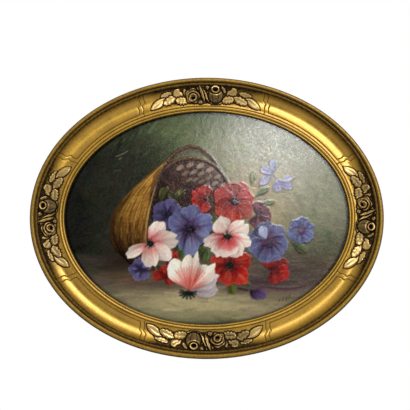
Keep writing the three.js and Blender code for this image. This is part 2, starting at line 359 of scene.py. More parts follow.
def gilding_group():
    """Gold leaf over red clay: toned brown in the hollows, darker under painted shade, rubbed and chipped on
    the edges.
    """
    vector, value, colour = "NodeSocketVector", "NodeSocketFloat", "NodeSocketColor"
    tree, given, out = new_group(
        "Gilding",
        [
            ("Place", vector, None),
            ("Hollow", value, 0.0),
            ("Edge", value, 0.0),
            ("Gold", colour, (1.0, 0.7, 0.3, 1.0)),
            ("Toning", colour, (0.06, 0.03, 0.01, 1.0)),
            ("Clay", colour, (0.25, 0.06, 0.03, 1.0)),
            ("Wear", value, 0.3),
        ],
        [("Color", colour), ("Metallic", value), ("Roughness", value), ("Height", value), ("Polish", value)],
    )
    place = given.outputs["Place"]
    patches = noise(tree, place, 28.0, 4.0, 0.6)
    fine = noise(tree, place, 420.0, 3.0, 0.6)
    streaks = noise(tree, stretched(tree, place, (1.0, 1.0, 0.06)), 520.0, 3.0, 0.7)
    lightness = maths(
        tree, "ADD", spread(tree, patches, 0.3, 0.7, 0.86, 1.08),
        spread(tree, streaks, 0.35, 0.7, -0.04, 0.04)
    )
    gold = mix_colour(tree, 1.0, given.outputs["Gold"], grey(tree, lightness), "MULTIPLY")
    worn = maths(tree, "MULTIPLY", given.outputs["Edge"], spread(tree, fine, 0.5, 0.72))
    worn = maths(tree, "ADD", worn, spread(tree, noise(tree, place, 95.0, 5.0, 0.7), 0.66, 0.78, 0.0, 0.5))
    worn = maths(tree, "MULTIPLY", worn, given.outputs["Wear"], clamp=True)
    hollow = maths(
        tree, "ADD", given.outputs["Hollow"], spread(tree, fine, 0.35, 0.75, -0.06, 0.1), clamp=True
    )
    rubbed = mix_colour(tree, worn, gold, given.outputs["Clay"])
    toned = mix_colour(tree, hollow, rubbed, given.outputs["Toning"])
    metallic = maths(
        tree, "MULTIPLY", maths(tree, "SUBTRACT", 1.0, worn),
        maths(tree, "SUBTRACT", 1.0, maths(tree, "MULTIPLY", hollow, 0.75))
    )
    rough = maths(
        tree, "ADD", spread(tree, patches, 0.3, 0.7, 0.34, 0.44), maths(tree, "MULTIPLY", hollow, 0.25)
    )
    rough = maths(tree, "ADD", rough, spread(tree, streaks, 0.4, 0.7, 0.0, 0.06))
    height = maths(tree, "ADD", maths(tree, "MULTIPLY", fine, 0.4), maths(tree, "MULTIPLY", streaks, 0.35))
    height = maths(tree, "SUBTRACT", height, maths(tree, "MULTIPLY", worn, 0.6))
    polish = maths(tree, "POWER", maths(tree, "SUBTRACT", 1.0, hollow), 2.0)
    results = {"Color": toned, "Metallic": metallic, "Roughness": rough, "Height": height, "Polish": polish}
    give(tree, out, results)
    return tree


def gilded_material(name, group, gold, toning, wear):
    material, tree, shader = new_material(name)
    inputs = {
        "Place": attribute(tree, "sweep", "Vector"),
        "Hollow": attribute(tree, "hollow"),
        "Edge": attribute(tree, "edge"),
        "Gold": rgba(gold),
        "Toning": rgba(toning),
        "Wear": wear,
    }
    effect = add_node(tree, "ShaderNodeGroup", inputs, node_tree=group).outputs
    give(tree, shader, {
        "Base Color": effect["Color"],
        "Metallic": effect["Metallic"],
        "Roughness": effect["Roughness"],
        "Normal": bumped(tree, effect["Height"], 0.5, 0.0002),
        "Coat Weight": effect["Polish"],
        "Coat Roughness": 0.25,
        "Coat IOR": 1.6,
        "Specular IOR Level": 0.2,
    })
    return material


# ---- Wood and steel ----


def wood_group():
    vector, value, colour = "NodeSocketVector", "NodeSocketFloat", "NodeSocketColor"
    tree, given, out = new_group(
        "Bare Wood",
        [
            ("Place", vector, None), ("Light", colour, (0.5, 0.32, 0.16, 1.0)),
            ("Dark", colour, (0.2, 0.11, 0.05, 1.0))
        ],
        [("Color", colour), ("Roughness", value), ("Height", value)],
    )
    place, dark = given.outputs["Place"], given.outputs["Dark"]
    bent = noise(tree, place, 9.0, 2.0, 0.5)
    rings = noise(tree, stretched(tree, place, (2.2, 30.0, 30.0)), 4.0, 3.0, 0.6)
    pores = noise(tree, stretched(tree, place, (8.0, 160.0, 160.0)), 9.0, 2.0, 0.6)
    grain = maths(tree, "ADD", rings, maths(tree, "MULTIPLY", bent, 0.4))
    share = spread(tree, grain, 0.45, 0.95)
    stains = spread(tree, noise(tree, place, 30.0, 4.0, 0.6), 0.45, 0.75, 0.0, 0.35)
    wood = mix_colour(tree, share, given.outputs["Light"], dark)
    wood = mix_colour(tree, spread(tree, pores, 0.55, 0.75, 0.0, 0.5), wood, dark)
    give(tree, out, {
        "Color": mix_colour(tree, stains, wood, dark),
        "Roughness": spread(tree, rings, 0.3, 0.7, 0.62, 0.8),
        "Height": maths(tree, "ADD", pores, maths(tree, "MULTIPLY", rings, 0.5)),
    })
    return tree


def wood_material(name, group, light, dark):
    material, tree, shader = new_material(name)
    place = add_node(tree, "ShaderNodeTexCoord").outputs["Object"]
    inputs = {"Place": place, "Light": rgba(light), "Dark": rgba(dark)}
    effect = add_node(tree, "ShaderNodeGroup", inputs, node_tree=group).outputs
    give(tree, shader, {
        "Base Color": effect["Color"],
        "Roughness": effect["Roughness"],
        "Normal": bumped(tree, effect["Height"], 0.35, 0.0004),
    })
    return material


def steel_material(name):
    material, tree, shader = new_material(name)
    place = add_node(tree, "ShaderNodeTexCoord").outputs["Object"]
    cloud = noise(tree, place, 160.0, 4.0, 0.65)
    scratches = noise(tree, stretched(tree, place, (40.0, 40.0, 900.0)), 2.0, 3.0, 0.6)
    colour = mix_colour(tree, spread(tree, cloud, 0.35, 0.7), (0.36, 0.35, 0.33, 1), (0.2, 0.19, 0.17, 1))
    colour = mix_colour(tree, spread(tree, cloud, 0.66, 0.74, 0.0, 0.7), colour, (0.14, 0.07, 0.035, 1))
    rough = spread(
        tree, maths(tree, "ADD", cloud, maths(tree, "MULTIPLY", scratches, 0.4)), 0.5, 0.9, 0.32, 0.6
    )
    give(tree, shader, {
        "Base Color": colour,
        "Roughness": rough,
        "Metallic": 0.9,
        "Normal": bumped(tree, scratches, 0.2, 0.0002),
    })
    return material


# ---- Sizes and colours that a user would change ----


class FrameSettings(bpy.types.PropertyGroup):
    steps: bpy.props.IntProperty(
        name="Steps", description="Cuts round the oval moulding", default=760, min=64
    )
    line_depth: bpy.props.FloatProperty(
        name="Line Depth", description="Depth of the cut lines beside the castings",
        default=0.0007, subtype="DISTANCE", unit="LENGTH"
    )
    gold: bpy.props.FloatVectorProperty(
        name="Gold", description="Colour of the burnished leaf",
        default=(0.80, 0.475, 0.06), size=3, subtype="COLOR"
    )
    toning: bpy.props.FloatVectorProperty(
        name="Toning", description="Brown wash in the hollows",
        default=(0.020, 0.008, 0.003), size=3, subtype="COLOR"
    )


class CastingSettings(bpy.types.PropertyGroup):
    step: bpy.props.FloatProperty(
        name="Mesh Step", description="Spacing of the relief's mesh",
        default=0.0004, subtype="DISTANCE", unit="LENGTH"
    )
    gold: bpy.props.FloatVectorProperty(
        name="Gold", description="Colour of the leaf on the castings",
        default=(0.95, 0.66, 0.24), size=3, subtype="COLOR"
    )


class CanvasSettings(bpy.types.PropertyGroup):
    seed: bpy.props.IntProperty(name="Seed", description="Order of the loose brush strokes", default=7, min=0)
    threads: bpy.props.FloatProperty(
        name="Threads", description="Threads of the linen to the metre", default=900.0, min=100.0
    )
    varnish_roughness: bpy.props.FloatProperty(
        name="Varnish Roughness", description="How dull the varnish is",
        default=0.16, min=0.0, max=1.0, subtype="FACTOR"
    )


class StageSettings(bpy.types.PropertyGroup):
    camera_distance: bpy.props.FloatProperty(
        name="Camera Distance", description="From the picture's middle",
        default=1.3, subtype="DISTANCE", unit="LENGTH"
    )
    camera_rise: bpy.props.FloatProperty(
        name="Camera Rise", description="Height of the view above level",
        default=math.radians(-5.7), subtype="ANGLE", unit="ROTATION"
    )


# ---- The moulding ----

DIVIDER_TOP = 11.6
DIVIDER_FOOT = 34.4
DIVIDER_LINES = ((PANEL_END, 7.0, 39.0), (PANEL_END + 5.7, 7.2, 34.9))
PANEL_LINE = 34.9


# Everything on the moulding that lies further forward than this is part of its carved face.
FACE_STARTS = 16.0
# The pocket for the hanger plate, as half width, half height, corner, middle across and up, and depth.
POCKET = (
    (25.3, 10.3, 3.0, 0.0, -7.5, 2.1),
    (6.5, 7.5, 6.0, 0.0, -8.5, 9.8),
    (1.8, 1.8, 1.8, -18.0, -7.5, 13.3),
    (1.8, 1.8, 1.8, 18.0, -7.5, 13.3),
)
# A tool for cutting the pocket starts this far behind the wall plane.
TOOL_START = 2.0


def divider_place(start, lean, inward):
    """Where a cut line lies along the moulding at an inward place: it leans out, with a step half way."""
    share = np.clip((inward - DIVIDER_TOP) / (DIVIDER_FOOT - DIVIDER_TOP), 0.0, 1.0)
    step = 2.2 * np.exp(-(((share - 0.56) / 0.1) ** 2)) - 1.6 * np.exp(-(((share - 0.4) / 0.14) ** 2))
    return start + lean * share**1.2 + step


def cut_lines(turn, inward):
    """1 in the middle of a cut line, 0 away from it: two beside each casting, one along each plain panel."""
    along = np.abs(distance_from_casting(turn))
    cut = np.zeros(np.shape(along))
    for start, lean, foot in DIVIDER_LINES:
        away = np.abs(along - divider_place(start, lean, inward))
        inside = (inward > DIVIDER_TOP - 0.4) & (inward < foot + 0.2)
        cut = np.maximum(cut, np.where(inside, np.exp(-((away / 0.6) ** 2)), 0.0))
    start, lean, foot = DIVIDER_LINES[-1]
    beyond = smooth(-0.6, 0.3, along - divider_place(start, lean, PANEL_LINE))
    return np.maximum(cut, beyond * np.exp(-(((inward - PANEL_LINE) / 0.5) ** 2)))


def spoke_turns(steps):
    """Turns of the cuts round the moulding, packed closer where the cut lines cross it."""
    turns = np.linspace(0, 2 * math.pi, 4001)
    along = np.abs(distance_from_casting(turns))
    density = 1.0 + 3.6 * smooth(73, 76, along) * (1 - smooth(92, 95, along))
    total = np.concatenate([[0.0], np.cumsum((density[1:] + density[:-1]) / 2)])
    return np.interp(np.linspace(0, total[-1], steps + 1), total, turns)


def moulding_mesh(settings):
    section = MOULDING_FRONT + MOULDING_BACK
    circle = 1000.0
    bm = bmesh.new()
    corners = [bm.verts.new((0.0, -depth, circle - inward)) for inward, depth in section]
    edges = [bm.edges.new((corners[i - 1], corners[i])) for i in range(len(corners))]
    bmesh.ops.spin(
        bm, geom=corners + edges, cent=(0, 0, 0), axis=(0, 1, 0), dvec=(0, 0, 0), angle=2 * math.pi,
        steps=settings.steps, use_merge=True, use_normal_flip=False, use_duplicate=False,
    )
    bmesh.ops.remove_doubles(bm, verts=bm.verts, dist=0.001)
    mesh = mesh_from(bm, "moulding")
    place = positions(mesh)
    spokes = spoke_turns(settings.steps)
    share = (np.arctan2(place[:, 0], place[:, 2]) / (2 * math.pi)) % 1.0
    turn = np.interp(share * settings.steps, np.arange(settings.steps + 1), spokes)
    inward = circle - np.hypot(place[:, 0], place[:, 2])
    depth = -place[:, 1]
    front = depth > FACE_STARTS
    cut = cut_lines(turn, inward) * front
    depth = depth - cut * settings.line_depth / MM
    x, z = oval_point(turn, FACE_WIDTH - inward)
    set_positions(mesh, np.stack([x, -depth, z], axis=1) * MM)
    add_moulding_masks(mesh, turn, inward, depth, cut)
    return mesh


# The gilding runs on down the outer side, which is everything this close to the edge and below the bead.
OUTER_SIDE = 2.0
SIDE_TOP = 25.5
# How much brown wash lies at each inward place. At the outer edge and at the sight edge the dark is also
# painted shade: the dim outer flank of the bead, and the shadow line where the frame meets the canvas.
WASH_AND_SHADE_PLACES = (
    0, 1.3, 2.4, 3.4, 5.2, 6.4, 7.3, 8.2, 10.2, 11.2, 12.4, 15, 18.5, 22, 33, 35.4, 36.4, 38.4, 39.3, 40.4,
    42.6, 43.4, 44.2, 45.2, 46.4
)
WASH_AND_SHADE_SHARES = (
    0.97, 0.9, 0.55, 0.42, 0.52, 0.8, 0.97, 0.78, 0.85, 0.98, 0.76, 0.48, 0.16, 0.03, 0.06, 0.2, 0.1, 0.3,
    0.9, 0.18, 0.25, 0.8, 0.25, 0.3, 0.9
)


def add_moulding_masks(mesh, turn, inward, depth, cut):
    hollow = np.interp(inward, WASH_AND_SHADE_PLACES, WASH_AND_SHADE_SHARES)
    along = np.abs(distance_from_casting(turn))
    ground = (1 - smooth(26, 66, along)) * smooth(10.9, 12.0, inward) * (1 - smooth(30.0, 35.0, inward))
    between = 0.28 * (1 - smooth(60, 78, along)) * smooth(10.9, 12.0, inward) * (
        1 - smooth(20.0, 34.0, inward)
    )
    hollow = np.maximum(np.maximum(hollow, cut), np.maximum(0.97 * ground, hollow + between))
    hollow = np.where((depth < SIDE_TOP) & (inward < OUTER_SIDE), 0.93, hollow)
    bead = np.exp(-(((inward - 3.0) / 1.6) ** 2)) + 0.7 * np.exp(-(((inward - 37.2) / 1.4) ** 2))
    bead = bead + 0.8 * np.exp(-(((inward - 8.6) / 0.8) ** 2)) + 0.5 * np.exp(-(((inward - 44.6) / 0.9) ** 2))
    set_values(mesh, "hollow", np.clip(hollow, 0, 1))
    set_values(mesh, "edge", np.clip(bead, 0, 1))
    across = np.where(inward < OUTER_SIDE, inward + depth - FRAME_DEPTH, inward)
    set_vectors(mesh, "sweep", sweep_vectors(turn, across))


def pocket_tool(half_width, half_height, corner, middle_x, middle_z, depth):
    """A closed body with rounded corners, to be cut out of the back."""
    bm = bmesh.new()
    outline = []
    for quarter in range(4):
        reach_x = (half_width - corner) * (1 if quarter in (0, 3) else -1)
        reach_z = (half_height - corner) * (1 if quarter < 2 else -1)
        for angle in np.linspace(quarter * math.pi / 2, (quarter + 1) * math.pi / 2, 7):
            x = middle_x + reach_x + corner * math.cos(angle)
            z = middle_z + reach_z + corner * math.sin(angle)
            outline.append(bm.verts.new((x * MM, TOOL_START * MM, z * MM)))
    face = bm.faces.new(outline)
    swept = bmesh.ops.extrude_face_region(bm, geom=[face])["geom"]
    ends = [part for part in swept if isinstance(part, bmesh.types.BMVert)]
    bmesh.ops.translate(bm, verts=ends, vec=(0, -(depth + TOOL_START) * MM, 0))
    bmesh.ops.remove_doubles(bm, verts=bm.verts, dist=1e-7)
    tool = bpy.data.objects.new("pocket", mesh_from(bm, "pocket"))
    bpy.context.collection.objects.link(tool)
    return tool


def cut_pocket(piece):
    """Sinks the hanger plate's seat, the room for the screw head behind it and its two screw holes."""
    for shape in POCKET:
        tool = pocket_tool(*shape)
        cut = piece.modifiers.new("pocket", "BOOLEAN")
        cut.operation = "DIFFERENCE"
        cut.solver = "EXACT"
        cut.object = tool
        context = bpy.context.evaluated_depsgraph_get()
        mesh = bpy.data.meshes.new_from_object(piece.evaluated_get(context))
        piece.modifiers.clear()
        piece.data = mesh
        bpy.data.objects.remove(tool)


class OBJECT_OT_oval_frame(bpy.types.Operator):
    """Sweeps the moulding round the oval, and gives it its gilding and its bare back"""

    bl_idname = "oval_painting.frame"
    bl_label = "Frame"

    def execute(self, context):
        settings = context.scene.oval_frame
        mesh = moulding_mesh(settings)
        gilding = gilded_material("Burnished gold", gilding_group(), settings.gold, settings.toning, 0.55)
        wood = wood_material("Old bare pine", wood_group(), (0.42, 0.27, 0.14), (0.16, 0.085, 0.04))
        piece = new_piece("moulding", mesh, [gilding, wood], "frame", smooth_angle=38)
        middles, normals = np.empty(3 * len(mesh.polygons)), np.empty(3 * len(mesh.polygons))
        mesh.polygons.foreach_get("center", middles)
        mesh.polygons.foreach_get("normal", normals)
        middles, normals = middles.reshape(-1, 3), normals.reshape(-1, 3)
        outwards = normals[:, 0] * middles[:, 0] + normals[:, 2] * (middles[:, 2] - CENTRE_Z * MM) > 0
        behind = -middles[:, 1] < (REBATE_DEPTH + 0.05) * MM
        bare = behind & ((normals[:, 1] > 0.5) | ~outwards)
        mesh.polygons.foreach_set("material_index", bare.astype(np.int32))
        cut_pocket(piece)
        return {"FINISHED"}


# ---- The castings ----
# Each is one relief, laid out flat: x runs clockwise along the cove from the casting's middle and u runs
# inward. A height is measured off the cove, and BURIED is how far the edges are bedded into the gesso. The
# SKIRT is the height of the ground beside a shape, the OUTLINE is how far a shape cuts back those under it,
# the BACKING is how thick the thinnest part is, and PROUDEST is how far the roses may pass the rim.

BURIED = 0.6
SKIRT = 0.5
OUTLINE = 1.8
BACKING = 0.4
PROUDEST = 0.7
CASTING_X = (-90.0, 84.0)
CASTING_U = (11.0, 38.0)


def turned_places(x, u, middle_x, middle_u, tilt):
    """Places along and across a shape whose right-hand end is swung towards the sight edge by the tilt."""
    angle = math.radians(tilt)
    along = (x - middle_x) * math.cos(angle) + (u - middle_u) * math.sin(angle)
    across = (u - middle_u) * math.cos(angle) - (x - middle_x) * math.sin(angle)
    return along, across


def leaf(x, u, middle, size, tilt, rise, blunt=0.0, lobes=0, crease=0.22):
    """A leaf folded along its midrib, with its height and the distance inside its edge.

    Blunt is from 0, a point at each end, to 1, a round end. Lobes scallop the edge.
    """
    along, across = turned_places(x, u, *middle, tilt)
    length, width = size
    t = along / (length / 2)
    taper = np.clip(1 - np.abs(t) ** (1.7 + 1.3 * blunt), 0, 1) ** (0.8 - 0.3 * blunt)
    scallop = 1 - 0.2 * np.cos(math.pi * lobes * t) ** 2 if lobes else 1.0
    half = width / 2 * taper * scallop
    inside = np.minimum(half - np.abs(across), (1 - np.abs(t)) * length / 2)
    share = np.clip(np.abs(across) / np.maximum(half, 0.01), 0, 1)
    side_tilt = 1 - 0.16 * np.sign(across) * share
    dome = np.sqrt(1 - 0.8 * share**2) * (0.74 + 0.26 * taper) * side_tilt
    midrib = crease * np.exp(-((across / (0.14 * width + 0.3)) ** 2)) * smooth(0.0, 0.5, 1 - np.abs(t))
    ribs = 0.06 * np.abs(np.sin(1.6 * (along - 1.1 * np.abs(across)))) * share
    return rise * (dome - midrib - ribs), inside


def rolled_rose(x, u, middle, radius, rise):
    """A rose whose petals wrap a hollow heart that looks towards the sight edge."""
    along, across = x - middle[0], u - middle[1]
    far = np.hypot(along, across)
    around = np.arctan2(across, along)
    rim = radius * (1 + 0.08 * np.cos(5 * around + 0.6))
    dome = np.clip(1 - (far / rim) ** 2, 0, 1) ** 0.5
    heart_along, heart_across = along - 0.8, across - 3.4
    from_heart = np.hypot(heart_along, 1.25 * heart_across)
    heart_angle = np.arctan2(heart_across, heart_along)
    wraps = np.cos(2 * math.pi * from_heart / 5.0 + 1.3 * np.sin(1.5 * heart_angle + 0.7))
    petals = 0.2 * wraps * smooth(2.4, 4.2, from_heart)
    heart = 0.85 * (1 - smooth(1.6, 3.6, from_heart))
    return rise * (dome * (1 + petals) - heart - 0.06), rim - far


def open_bud(x, u, middle, radius, rise):
    """The round body of a bud, with seams between its petals."""
    along, across = x - middle[0], u - middle[1]
    far = np.hypot(along, 0.92 * across)
    dome = np.clip(1 - (far / radius) ** 2, 0, 1) ** 0.5
    seams = 0.07 * np.exp(-((np.abs(np.abs(along) - 4.6 + 0.02 * across**2) / 0.7) ** 2))
    return rise * (dome - seams - 0.05), radius - far


def bud_mouth(x, u, middle, radius, rise):
    """The hollow lip at the rim side of a bud."""
    far = np.hypot(x - middle[0], 1.1 * (u - middle[1]))
    lip = 0.15 * np.exp(-(((far - 0.78 * radius) / 0.9) ** 2))
    hole = 0.95 * (1 - smooth(0.36 * radius, 0.66 * radius, far))
    return rise * (0.86 + lip - hole), radius - far


def casting_shapes(x, u):
    """The pattern from its lowest shape up: leaves to either side of two roses and crossed blades."""
    return [
        leaf(x, u, (-58.0, 18.6), (17.5, 7.6), -4, 3.6, blunt=0.6, lobes=2),
        leaf(x, u, (54.0, 19.6), (19.0, 8.0), 9, 3.8, blunt=0.6, lobes=2),
        leaf(x, u, (-72.0, 28.2), (27.0, 11.4), -24, 4.2, blunt=0.15),
        leaf(x, u, (66.0, 29.0), (26.0, 11.2), 24, 4.2, blunt=0.3),
        leaf(x, u, (-54.0, 26.8), (23.0, 12.2), -20, 4.8, blunt=0.5, lobes=2),
        leaf(x, u, (48.0, 28.4), (22.0, 12.0), 16, 4.8, blunt=0.5, lobes=2),
        leaf(x, u, (-41.0, 20.4), (14.5, 12.6), 50, 5.6, blunt=1.0, lobes=1),
        leaf(x, u, (35.0, 19.8), (15.5, 11.6), -34, 5.4, blunt=1.0, lobes=1),
        leaf(x, u, (-36.5, 29.8), (18.5, 12.4), 8, 6.2, blunt=0.9, lobes=2),
        leaf(x, u, (30.0, 29.6), (18.5, 12.4), -8, 6.0, blunt=0.9, lobes=2),
        leaf(x, u, (-30.5, 19.5), (11.0, 6.0), 76, 4.6, blunt=0.4),
        leaf(x, u, (22.8, 16.5), (9.5, 5.0), 50, 5.0, blunt=0.5),
        leaf(x, u, (-10.5, 33.4), (13.0, 5.6), 14, 4.8, blunt=0.5),
        leaf(x, u, (13.5, 34.6), (17.0, 5.6), -3, 4.6, blunt=0.5),
        leaf(x, u, (-10.0, 15.4), (13.0, 5.2), -24, 5.4, blunt=0.4),
        leaf(x, u, (3.0, 15.6), (9.0, 4.8), 34, 5.2, blunt=0.5),
        leaf(x, u, (0.5, 25.0), (24.0, 4.8), -60, 6.4, blunt=0.2),
        leaf(x, u, (-2.0, 23.5), (26.0, 5.2), 60, 7.6, blunt=0.2),
        leaf(x, u, (-6.5, 22.5), (23.0, 4.8), 72, 8.6, blunt=0.3),
        rolled_rose(x, u, (-20.0, 25.0), 10.6, 11.0),
        open_bud(x, u, (12.6, 24.6), 10.2, 11.2),
        bud_mouth(x, u, (12.2, 17.6), 5.6, 11.6),
    ]


def ground_pad(x, u):
    """The height of the rough ground between the leaves, deepest round the roses."""
    half_length = np.where(x < 0, 70.0, 64.0)
    share = np.clip(np.abs(x) / half_length, 0, 1)
    half_width = 12.2 * (1 - share**2) ** 0.7
    inside = half_width - np.abs(u - (24.2 + 3.4 * share**2))
    grit = 0.22 * np.sin(2.9 * x + 1.3 * u) * np.sin(2.3 * u - 1.9 * x)
    return -BURIED + (SKIRT + grit + BURIED) * smooth(-0.15, 0.55, inside)


def casting_relief(x, u):
    """Heights off the cove for the whole pattern, and how much brown has settled round each shape."""
    height = ground_pad(x, u)
    shade = np.ones(np.shape(x))
    for top, inside in casting_shapes(x, u):
        beside = smooth(-OUTLINE, -0.35 * OUTLINE, inside)
        cut_back = np.where(height > SKIRT, height - (height - SKIRT) * 0.7 * beside, height)
        skirt = -BURIED + (SKIRT + BURIED) * smooth(0.0, 0.4, beside)
        under = np.where(inside > 0, np.minimum(height, SKIRT), np.maximum(cut_back, skirt))
        wall = -BURIED + (top + BURIED) * smooth(-0.15, 0.55, inside)
        height = np.maximum(under, wall)
        shade = np.where(inside > 0, 0.75 * smooth(0.9, 0.1, inside), np.maximum(shade, beside))
    return height, shade


def blurred(values, reach):
    """A grid of values averaged over a square, a given number of cells to each side."""
    size = 2 * reach + 1
    for axis in (0, 1):
        padded = np.pad(values, [(reach + 1, reach) if a == axis else (0, 0) for a in (0, 1)], mode="edge")
        total = np.cumsum(padded, axis=axis)
        high = np.take(total, range(size, total.shape[axis]), axis=axis)
        low = np.take(total, range(0, total.shape[axis] - size), axis=axis)
        values = (high - low) / size
    return values


def part_pinched_corners(bm):
    """Takes away a face wherever two faces of a sheet meet only at a corner."""
    while True:
        bm.faces.index_update()
        pinched = [vert for vert in bm.verts if sum(edge.is_boundary for edge in vert.link_edges) > 2]
        if not pinched:
            return
        spare = {min(vert.link_faces, key=lambda face: face.index).index: vert for vert in pinched}
        bm.faces.ensure_lookup_table()
        bmesh.ops.delete(bm, geom=[bm.faces[index] for index in sorted(spare)], context="FACES")


def casting_mesh(side, settings):
    step = settings.step / MM
    columns = int((CASTING_X[1] - CASTING_X[0]) / step)
    rows = int((CASTING_U[1] - CASTING_U[0]) / step)
    bm = bmesh.new()
    bmesh.ops.create_grid(bm, x_segments=columns, y_segments=rows, size=0.5)
    bm.verts.ensure_lookup_table()
    flat = np.array([v.co[:2] for v in bm.verts]) + 0.5
    column = np.rint(flat[:, 0] * columns).astype(int)
    row = np.rint(flat[:, 1] * rows).astype(int)
    grid_x, grid_u = np.meshgrid(
        np.linspace(*CASTING_X, columns + 1), np.linspace(*CASTING_U, rows + 1), indexing="ij")
    phase = CASTING_TURNS[side]
    wander = 0.35 * np.sin(0.21 * grid_x + 1.7 * phase)
    height, shade = casting_relief(grid_x + wander, grid_u + 0.5 * wander)
    height = height + 0.05 * np.sin(1.9 * grid_x + 5 * phase) * np.sin(2.3 * grid_u)
    kept = blurred((height > -BURIED + 0.01).astype(float), 1) > 0.01
    for i, vert in enumerate(bm.verts):
        vert.co = (grid_x[column[i], row[i]], grid_u[column[i], row[i]], 0.0)
    lost = [vert for i, vert in enumerate(bm.verts) if not kept[column[i], row[i]]]
    bmesh.ops.delete(bm, geom=lost, context="VERTS")
    loose = [vert for vert in bm.verts if not vert.link_faces]
    bmesh.ops.delete(bm, geom=loose, context="VERTS")
    part_pinched_corners(bm)
    back = bmesh.ops.extrude_face_region(bm, geom=list(bm.faces))["geom"]
    bmesh.ops.translate(
        bm, verts=[part for part in back if isinstance(part, bmesh.types.BMVert)], vec=(0, 0, 1.0)
    )
    mesh = mesh_from(bm, f"casting_{side}")
    place = positions(mesh)
    column = np.rint((place[:, 0] - CASTING_X[0]) / (CASTING_X[1] - CASTING_X[0]) * columns).astype(int)
    row = np.rint((place[:, 1] - CASTING_U[0]) / (CASTING_U[1] - CASTING_U[0]) * rows).astype(int)
    on_top = place[:, 2] > 0.5
    lift = np.where(on_top, height[column, row], -BURIED - BACKING)
    depth = np.minimum(front_depth(place[:, 1]) + lift, FRAME_DEPTH + PROUDEST)
    before, after = CASTING_STRETCH[side]
    along = place[:, 0] * np.where(place[:, 0] < 0, before, after) + CASTING_SHIFT[side]
    turn = turn_along(CASTING_TURNS[side], along)
    x, z = oval_point(turn, FACE_WIDTH - place[:, 1])
    set_positions(mesh, np.stack([x, -depth, z], axis=1) * MM)
    standing = height - blurred(height, 5)
    near = height - blurred(height, 2)
    # The dull mask darkens each half of a casting with painted shade and some wear, and makes every casting
    # darker through its middle. It goes into the hollow mask together with the brown toning.
    shade_and_wear_before, shade_and_wear_after = CASTING_SHADE_AND_WEAR[side]
    dull = np.where(grid_x < 0, shade_and_wear_before, shade_and_wear_after) * smooth(76, 58, np.abs(grid_x))
    dull = np.maximum(dull, 0.85 * smooth(36, 18, np.abs(grid_x)))
    hollow = shade + 0.8 * smooth(0.3, -1.2, standing) + 0.5 * smooth(-0.1, -0.6, near)
    hollow = hollow + dull * smooth(1.9, 0.3, standing) + smooth(1.2, 0.6, height)
    set_values(mesh, "hollow", np.clip(hollow, 0, 1)[column, row])
    set_values(mesh, "edge", smooth(0.2, 1.0, standing)[column, row])
    set_vectors(mesh, "sweep", sweep_vectors(turn, place[:, 1]))
    mesh.flip_normals()
    return mesh


class OBJECT_OT_oval_castings(bpy.types.Operator):
    """Makes the four rose-and-leaf castings and beds them in the cove"""

    bl_idname = "oval_painting.castings"
    bl_label = "Castings"

    def execute(self, context):
        settings = context.scene.oval_casting
        toning = context.scene.oval_frame.toning
        group = bpy.data.node_groups["Gilding"]
        gilding = gilded_material("Gilded composition", group, settings.gold, toning, 0.2)
        for side in CASTING_TURNS:
            new_piece(
                f"casting_{side}", casting_mesh(side, settings), [gilding],
                f"ornament_{side}"
            )
        return {"FINISHED"}


# ---- The painting ----
# The still life is painted stroke by stroke on a fine sheet of cells. Places on it are millimetres to the
# right of and above the picture's middle. Colours are written as they look, and mixed that way too.

PAINT_STEP = 0.8
PAINT_HALF_WIDTH = 203.0
PAINT_HALF_HEIGHT = 154.0
EVERYWHERE = (slice(None), slice(None))


def tint(code):
    """A colour from its six-figure code, as three parts from 0 to 1."""
    return np.array([(code >> 16) & 255, (code >> 8) & 255, code & 255]) / 255.0


